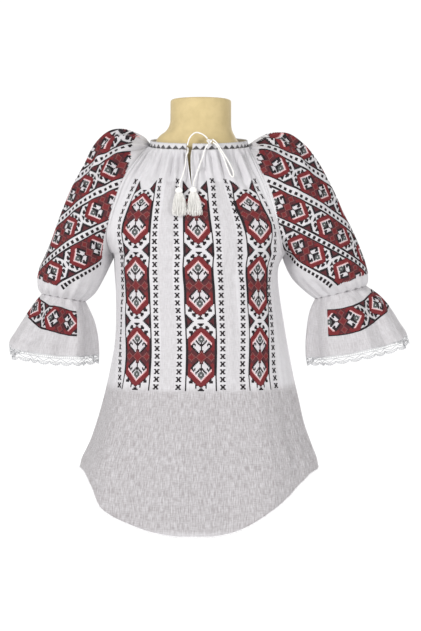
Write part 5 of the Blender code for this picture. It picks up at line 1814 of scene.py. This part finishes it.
outer, normals, flat = laid["front"]
front_cloth = FlatCloth(outer, normals, flat, np.zeros(outer.shape[:2]))
groups = []
for stripe in STRIPES:
    cells, letters = charted(range(FIRST_ROW, STRIPE_ROWS), stripe_row)
    groups.append(stitches(front_cloth, cells, letters, stripe_place(stripe)))
for column in CROSS_COLUMNS:
    cells, letters = charted(range(STRIPE_ROWS), cross_row)
    groups.append(stitches(front_cloth, cells, letters, cross_place(column)))
stitched = {"front": stitch_piece("stitch_front", groups)}

# %% [markdown]
# ## Slanting bands on the sleeves
# The sleeve's bands run at an angle, down from the neck to the outer arm, with a narrow white strip and a
# row of black blocks between them. They were stitched on the flat sleeve, so both halves match about the
# outer line. The places are measured along the arm and round it: bands slant evenly across these two.

# %% Bands across the sleeves: middle line across, and first crossing along, in millimetres
SLEEVE_TILT = math.radians(20)
BAND_CELL = 1.92  # across a band
BAND_ROW = 1.786  # along a band
SLEEVE_BANDS = {
    "left": [(-713, 195), (-651, 133.5), (-590, 78.8), (-532, 11.6)],
    "right": [(-707, 222), (-645, 160), (-584, 95.2), (-528, 28.2)]
}
SLEEVE_STRIPS = {"left": [-682.5, -620, -560], "right": [-677, -613, -555.5]}
LAST_STRIP = {"left": -502.0, "right": -497.5}
INNER_EDGES = {
    "left": Table("t s", """
-700 -376, -647 -346, -606 -323.5, -554 -316, -490 -312, -450 -308, -415 -300
"""),
    "right": Table("t s", """
-690 -362, -651 -327, -617 -296, -592 -292, -550 -292, -501 -285, -436 -265, -421 -262
"""),
}
STRAIGHT_CUTS = {"left": -341.5, "right": -350.0}
OVERLAP = 4  # columns of the other half, so that the outer line is reached


def sleeve_half(side, half):
    """One half of a sleeve with its places along and round the arm."""
    outer, normals, _, smooth = laid[side]
    sign = -1 if side == "left" else 1
    outwards = smooth @ np.array([sign * math.cos(SLEEVE_TILT), 0, math.sin(SLEEVE_TILT)])
    along = smooth @ np.array([sign * math.sin(SLEEVE_TILT), 0, -math.cos(SLEEVE_TILT)])
    middle = smooth.shape[1] // 2
    steps = np.hypot(np.diff(outwards, axis=1), np.diff(smooth[..., 1], axis=1))
    run = np.concatenate([np.zeros((len(steps), 1)), np.cumsum(steps, axis=1)], axis=1)
    arc = (run - run[:, middle : middle + 1]) * (-1 if half == "front" else 1)
    flat = np.stack([arc - outwards[:, middle : middle + 1], along], axis=2)
    chosen = slice(0, middle + OVERLAP) if half == "front" else slice(middle - OVERLAP, None)
    turns = np.broadcast_to(SLEEVE_TURNS, along.shape)
    return FlatCloth(outer[:, chosen], normals[:, chosen], flat[:, chosen], turns[:, chosen])


def slanted(middle, first, width):
    """Place of a slanting band's chart corners, round and along the arm."""

    def place(corners):
        across = middle + (corners[:, 0] - width / 2) * BAND_CELL
        along = first + corners[:, 1] * BAND_ROW
        return np.column_stack([across + along, across - along]) / math.sqrt(2)

    return place


def sleeve_keep(side, half):
    """Keeps stitches inside the sleeve's embroidered field and on their own half."""

    def keep(turn, place):
        edge = INNER_EDGES[side]("s", place[:, 1])
        own = turn <= 0 if half == "front" else turn >= 0
        return own & (place[:, 0] <= edge) & (place[:, 1] <= STRAIGHT_CUTS[side])

    return keep


for side in SIDES:
    groups = []
    for half in ("front", "back"):
        cloth, keep = sleeve_half(side, half), sleeve_keep(side, half)
        rows = [(bold_row, middle, first, CHART_WIDTH, 150) for middle, first in SLEEVE_BANDS[side]]
        rows += [(block_row, middle, 0, 3, 180) for middle in SLEEVE_STRIPS[side]]
        rows.append((small_block_row, LAST_STRIP[side], 0, 3, 180))
        for read_row, middle, first, width, reach in rows:
            cells, letters = charted(range(-reach, reach), read_row)
            groups.append(stitches(cloth, cells, letters, slanted(middle, first, width), keep))
    stitched["sleeve_" + side] = stitch_piece("stitch_sleeve_" + side, groups)

# %% [markdown]
# ## Bands on the cuffs
# One band of the same repeat goes round the outer side of each flounce, just below the gathers, and stops
# where the flounce turns in.

# %% Cuff bands: from the outer line to the ends, in flat millimetres
CUFF_EDGES = {
    "left": Table("u top bottom", "0 9 46, 47 13 51, 70 16 58, 92 20 64, 121 20 68, 160 26 73"),
    "right": Table("u top bottom", "0 10 47, 58 19 56, 86 26 65, 113 31 73, 163 31 74")
}
CUFF_FIRST = {"left": 75.3, "right": 84.7}
CUFF_ROW = 1.77
CUFF_END = 162.0


def cuff_place(side, half):
    """Flat place of a cuff's chart corners."""
    sign = -1 if half == "front" else 1

    def place(corners):
        round_arm = CUFF_FIRST[side] + corners[:, 1] * CUFF_ROW
        top = CUFF_EDGES[side]("top", np.abs(round_arm))
        bottom = CUFF_EDGES[side]("bottom", np.abs(round_arm))
        return np.column_stack([sign * round_arm, top + (bottom - top) * corners[:, 0] / CHART_WIDTH])

    return place


def cuff_keep(half):
    """Keeps stitches between the outer line and the cuff band's end."""
    sign = -1 if half == "front" else 1

    def keep(turn, place):
        round_arm = sign * place[:, 0]
        return (round_arm >= 0) & (round_arm <= CUFF_END)

    return keep


for side in SIDES:
    outer, normals, flat = laid["flounce_" + side]
    cloth = FlatCloth(outer, normals, flat, np.zeros(outer.shape[:2]))
    groups = []
    for half in ("front", "back"):
        cells, letters = charted(range(-60, 60), bold_row)
        groups.append(stitches(cloth, cells, letters, cuff_place(side, half), cuff_keep(half)))
    stitched["cuff_" + side] = stitch_piece("stitch_cuff_" + side, groups)
print("stitched:", {name: made_triangles[piece.name] for name, piece in stitched.items()})

# %% [markdown]
# ## Seams, rolled hems and a bound slit
# The panels are joined to the sleeves and to each other with narrow felled seams. The hem is rolled twice
# and whipped down, so it is a thin round cord of cloth that catches the light. The slit's two edges are
# rolled the same way. Each is swept as a slim tube along the very edge of its panel, drawn in a little
# wherever a stitch pulls.

# %% Sew the edges
SEAM_RADIUS = 0.75
HEM_RADIUS = 1.5
SLIT_RADIUS = 0.9
SEAM_PROUD = 0.25  # how far a seam stands off the cloth's middle
HEM_RISE = 0.6
STITCH_PITCH = 4.2
STITCH_PULL = 0.16  # of the radius


def whipped(path, radius, sides=6):
    """A slim rolled edge along a path, drawn in a little at every stitch."""
    length = run_along(path)[-1]
    even = np.linspace(0, length, max(8, int(length / STITCH_PITCH * 3)))
    pull = radius * (1 - STITCH_PULL * np.cos(2 * math.pi * even / STITCH_PITCH) ** 2)
    return tube_parts(spaced(path, even), pull, sides)


edges = {}
for panel in ("front", "back"):
    outer, normals, _ = laid[panel]
    middle = outer - normals * THIN / 2
    parts = [whipped(middle[-1] + np.array([0, 0, HEM_RISE]), HEM_RADIUS)]
    seam_end = None if panel == "front" else int(np.searchsorted(PANEL_ROWS, RAGLAN_ROWS))
    for column in (0, -1):  # the front's seam goes on down the side, and the back's stops at the underarm
        side = middle[:, column] + normals[:, column] * SEAM_PROUD
        parts.append(whipped(side[2:seam_end], SEAM_RADIUS))
    if panel == "front":
        half = outer.shape[1] // 2
        across = outer[:SLIT_LINES, half + 1] - outer[:SLIT_LINES, half - 1]
        across /= np.linalg.norm(across, axis=1, keepdims=True)
        for sign in (-1, 1):
            rolled = outer[:SLIT_LINES, half] + across * (sign * SLIT_GAPE[:SLIT_LINES])[:, None]
            parts.append(whipped(rolled[1:], SLIT_RADIUS))
    edges[panel] = add_piece("edges_" + panel, *joined(parts), looks["seam"], "white_cotton")
print("sewn edges:", {k: made_triangles[v.name] for k, v in edges.items()})

# %% [markdown]
# ## The dress form and its foot
# The form is a padded torso under a tight beige jersey, with a short neck and a flat neck plate. Here it is
# lofted through its level sections, closely enough that no facet shows, with a small round edge at the
# plate. The foot is turned wood on a wide disc, and is lathed from its profile.

# %% Loft the form
FORM_ROUNDNESS = 2.15
FORM = Table("height left right front back", """
50 -140 144 84 90, 60 -148 152 90 96, 100 -156 160 96 102, 150 -158 162 97 103, 200 -155 159 95 102,
250 -146 150 90 98, 300 -132 136 86 90, 350 -118 122 84 80, 390 -113 117 84 76, 430 -115 119 88 77,
470 -122 126 96 80, 510 -132 136 104 85, 550 -141 145 106 88, 590 -148 152 100 90, 630 -152 156 88 88,
660 -152 156 77 85, 680 -146 150 70 81, 692 -124 128 64 75, 702 -107 107 60 70, 712 -96 87.5 57.5 66,
722 -91 75 56 62, 735 -87 64 54.5 58.5, 743 -80.5 59.3 54 57, 750 -71 55.8 54 56, 758 -65 53.6 54 56,
770 -61.4 53 54 56, 810 -61 53 54 56
""")
FORM_TOP = 810.0
FORM_FOOT = 50.0
PLATE_EDGE = 4.0  # radius of the round edge at the neck plate
FORM_SIDES = 96


def form_ring(height, inset=0.0):
    """One level ring of the form."""
    left, right = FORM("left", height), FORM("right", height)
    turns = np.linspace(0, 2 * math.pi, FORM_SIDES, endpoint=False)
    depth = np.where(np.cos(turns) > 0, FORM("front", height), FORM("back", height)) - inset
    x, y = section_point((left + right) / 2, (right - left) / 2 - inset, depth, turns, FORM_ROUNDNESS)
    return np.stack([x, y, np.full(FORM_SIDES, height)], axis=1)


rings = [
    form_ring(h) for h in np.concatenate([np.arange(FORM_FOOT, 640, 10), np.arange(640, FORM_TOP - 5, 2.5)])
]
for bend in np.linspace(0, 1, 6):
    inset = PLATE_EDGE * (1 - math.cos(bend * math.pi / 2))
    ring = form_ring(FORM_TOP, inset)
    ring[:, 2] = FORM_TOP - PLATE_EDGE + PLATE_EDGE * math.sin(bend * math.pi / 2)
    rings.append(ring)
top_ring = rings[-1]
centre = top_ring.mean(axis=0)
rings += [centre + (top_ring - centre) * share for share in (0.75, 0.5, 0.25)]
form = add_piece(
    "form_torso", np.concatenate(rings), skin_faces(len(rings), FORM_SIDES), looks["jersey"], "beige_form"
)
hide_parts("dress_form")
print("form:", made_triangles["form_torso"], "triangles")

# %% Turn the foot
FOOT = [
    (0.5, 0), (56, 0), (59, 0.6), (60, 2.5), (59.7, 4.6), (57.5, 6.6), (54, 9.0), (48, 11.6), (41, 13.6),
    (37, 15.0)
]
FOOT += [
    (34, 16.8), (32, 20), (30.6, 26), (30, 34), (30.4, 40), (34, 42.4), (40, 43.6), (44.6, 45), (46, 46.6),
    (46, 49.7), (0.5, 49.7)
]
FOOT_SIDES = 72
turns = np.linspace(0, 2 * math.pi, FOOT_SIDES, endpoint=False)
net = [(r * math.cos(t), r * math.sin(t), z) for r, z in FOOT for t in turns]
foot = add_piece("form_foot", net, skin_faces(len(FOOT), FOOT_SIDES), looks["foot"], "foot")
foot.data.set_sharp_from_angle(angle=math.radians(40))
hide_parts("form_base")
print("foot:", made_triangles["form_foot"], "triangles")

# %% [markdown]
# ## What the soft pieces are
# The last step prints the worn area of each piece of cloth and takes points along every free cord. Each
# piece is listed with the size that it was cut to before it was gathered and worn: a cut is given for what
# shows, and a tube is cut once round.


def declare_cord(name):
    """Takes points along a free cord's own route in metres, about thirty of them and the last one."""
    piece, fine = cords[name]
    path = [tuple(float(c) * MM for c in p) for p in fine[:: max(1, len(fine) // 30)]]
    last = tuple(float(c) * MM for c in fine[-1])
    if path[-1] != last:
        path.append(last)


declare_cord("drawstring_arch")
declare_cord("drawstring_bow")
for side in SIDES:
    declare_cord("drawstring_tail_" + side)


def cloth_area(piece):
    """One face's area of a thin shell, in square metres."""
    return round(sum(p.area for p in piece.data.polygons) / 2, 4)


def declare_sheet(piece, flat, rests_on, with_pieces=(), held="gathered", **more):
    """Prints the worn area of a piece of cloth. The size it was cut to is not used."""
    print(piece.name, "worn area:", cloth_area(piece))


UNDER = ["form_torso", "band_strip"]
declare_sheet(panels["front"], (0.56, 0.69), UNDER, [stitched["front"], edges["front"]])
declare_sheet(panels["back"], (0.56, 0.72), UNDER, [edges["back"]])
for side in SIDES:
    declare_sheet(sleeves[side], (0.38, 0.40), UNDER, [stitched["sleeve_" + side]], area=0.135)
    declare_sheet(flounces[side], (0.50, 0.11), ["cloth_sleeve_" + side], [stitched["cuff_" + side]])
    declare_sheet(laces[side], (0.52, 0.02), ["cloth_flounce_" + side])
declare_sheet(band, (0.54, 0.012), ["form_torso"], [band_triangles, band_scallops], held="laid")
print(
    "triangles:", sum(made_triangles.values()), "largest:",
    max(made_triangles.items(), key=lambda item: item[1])
)
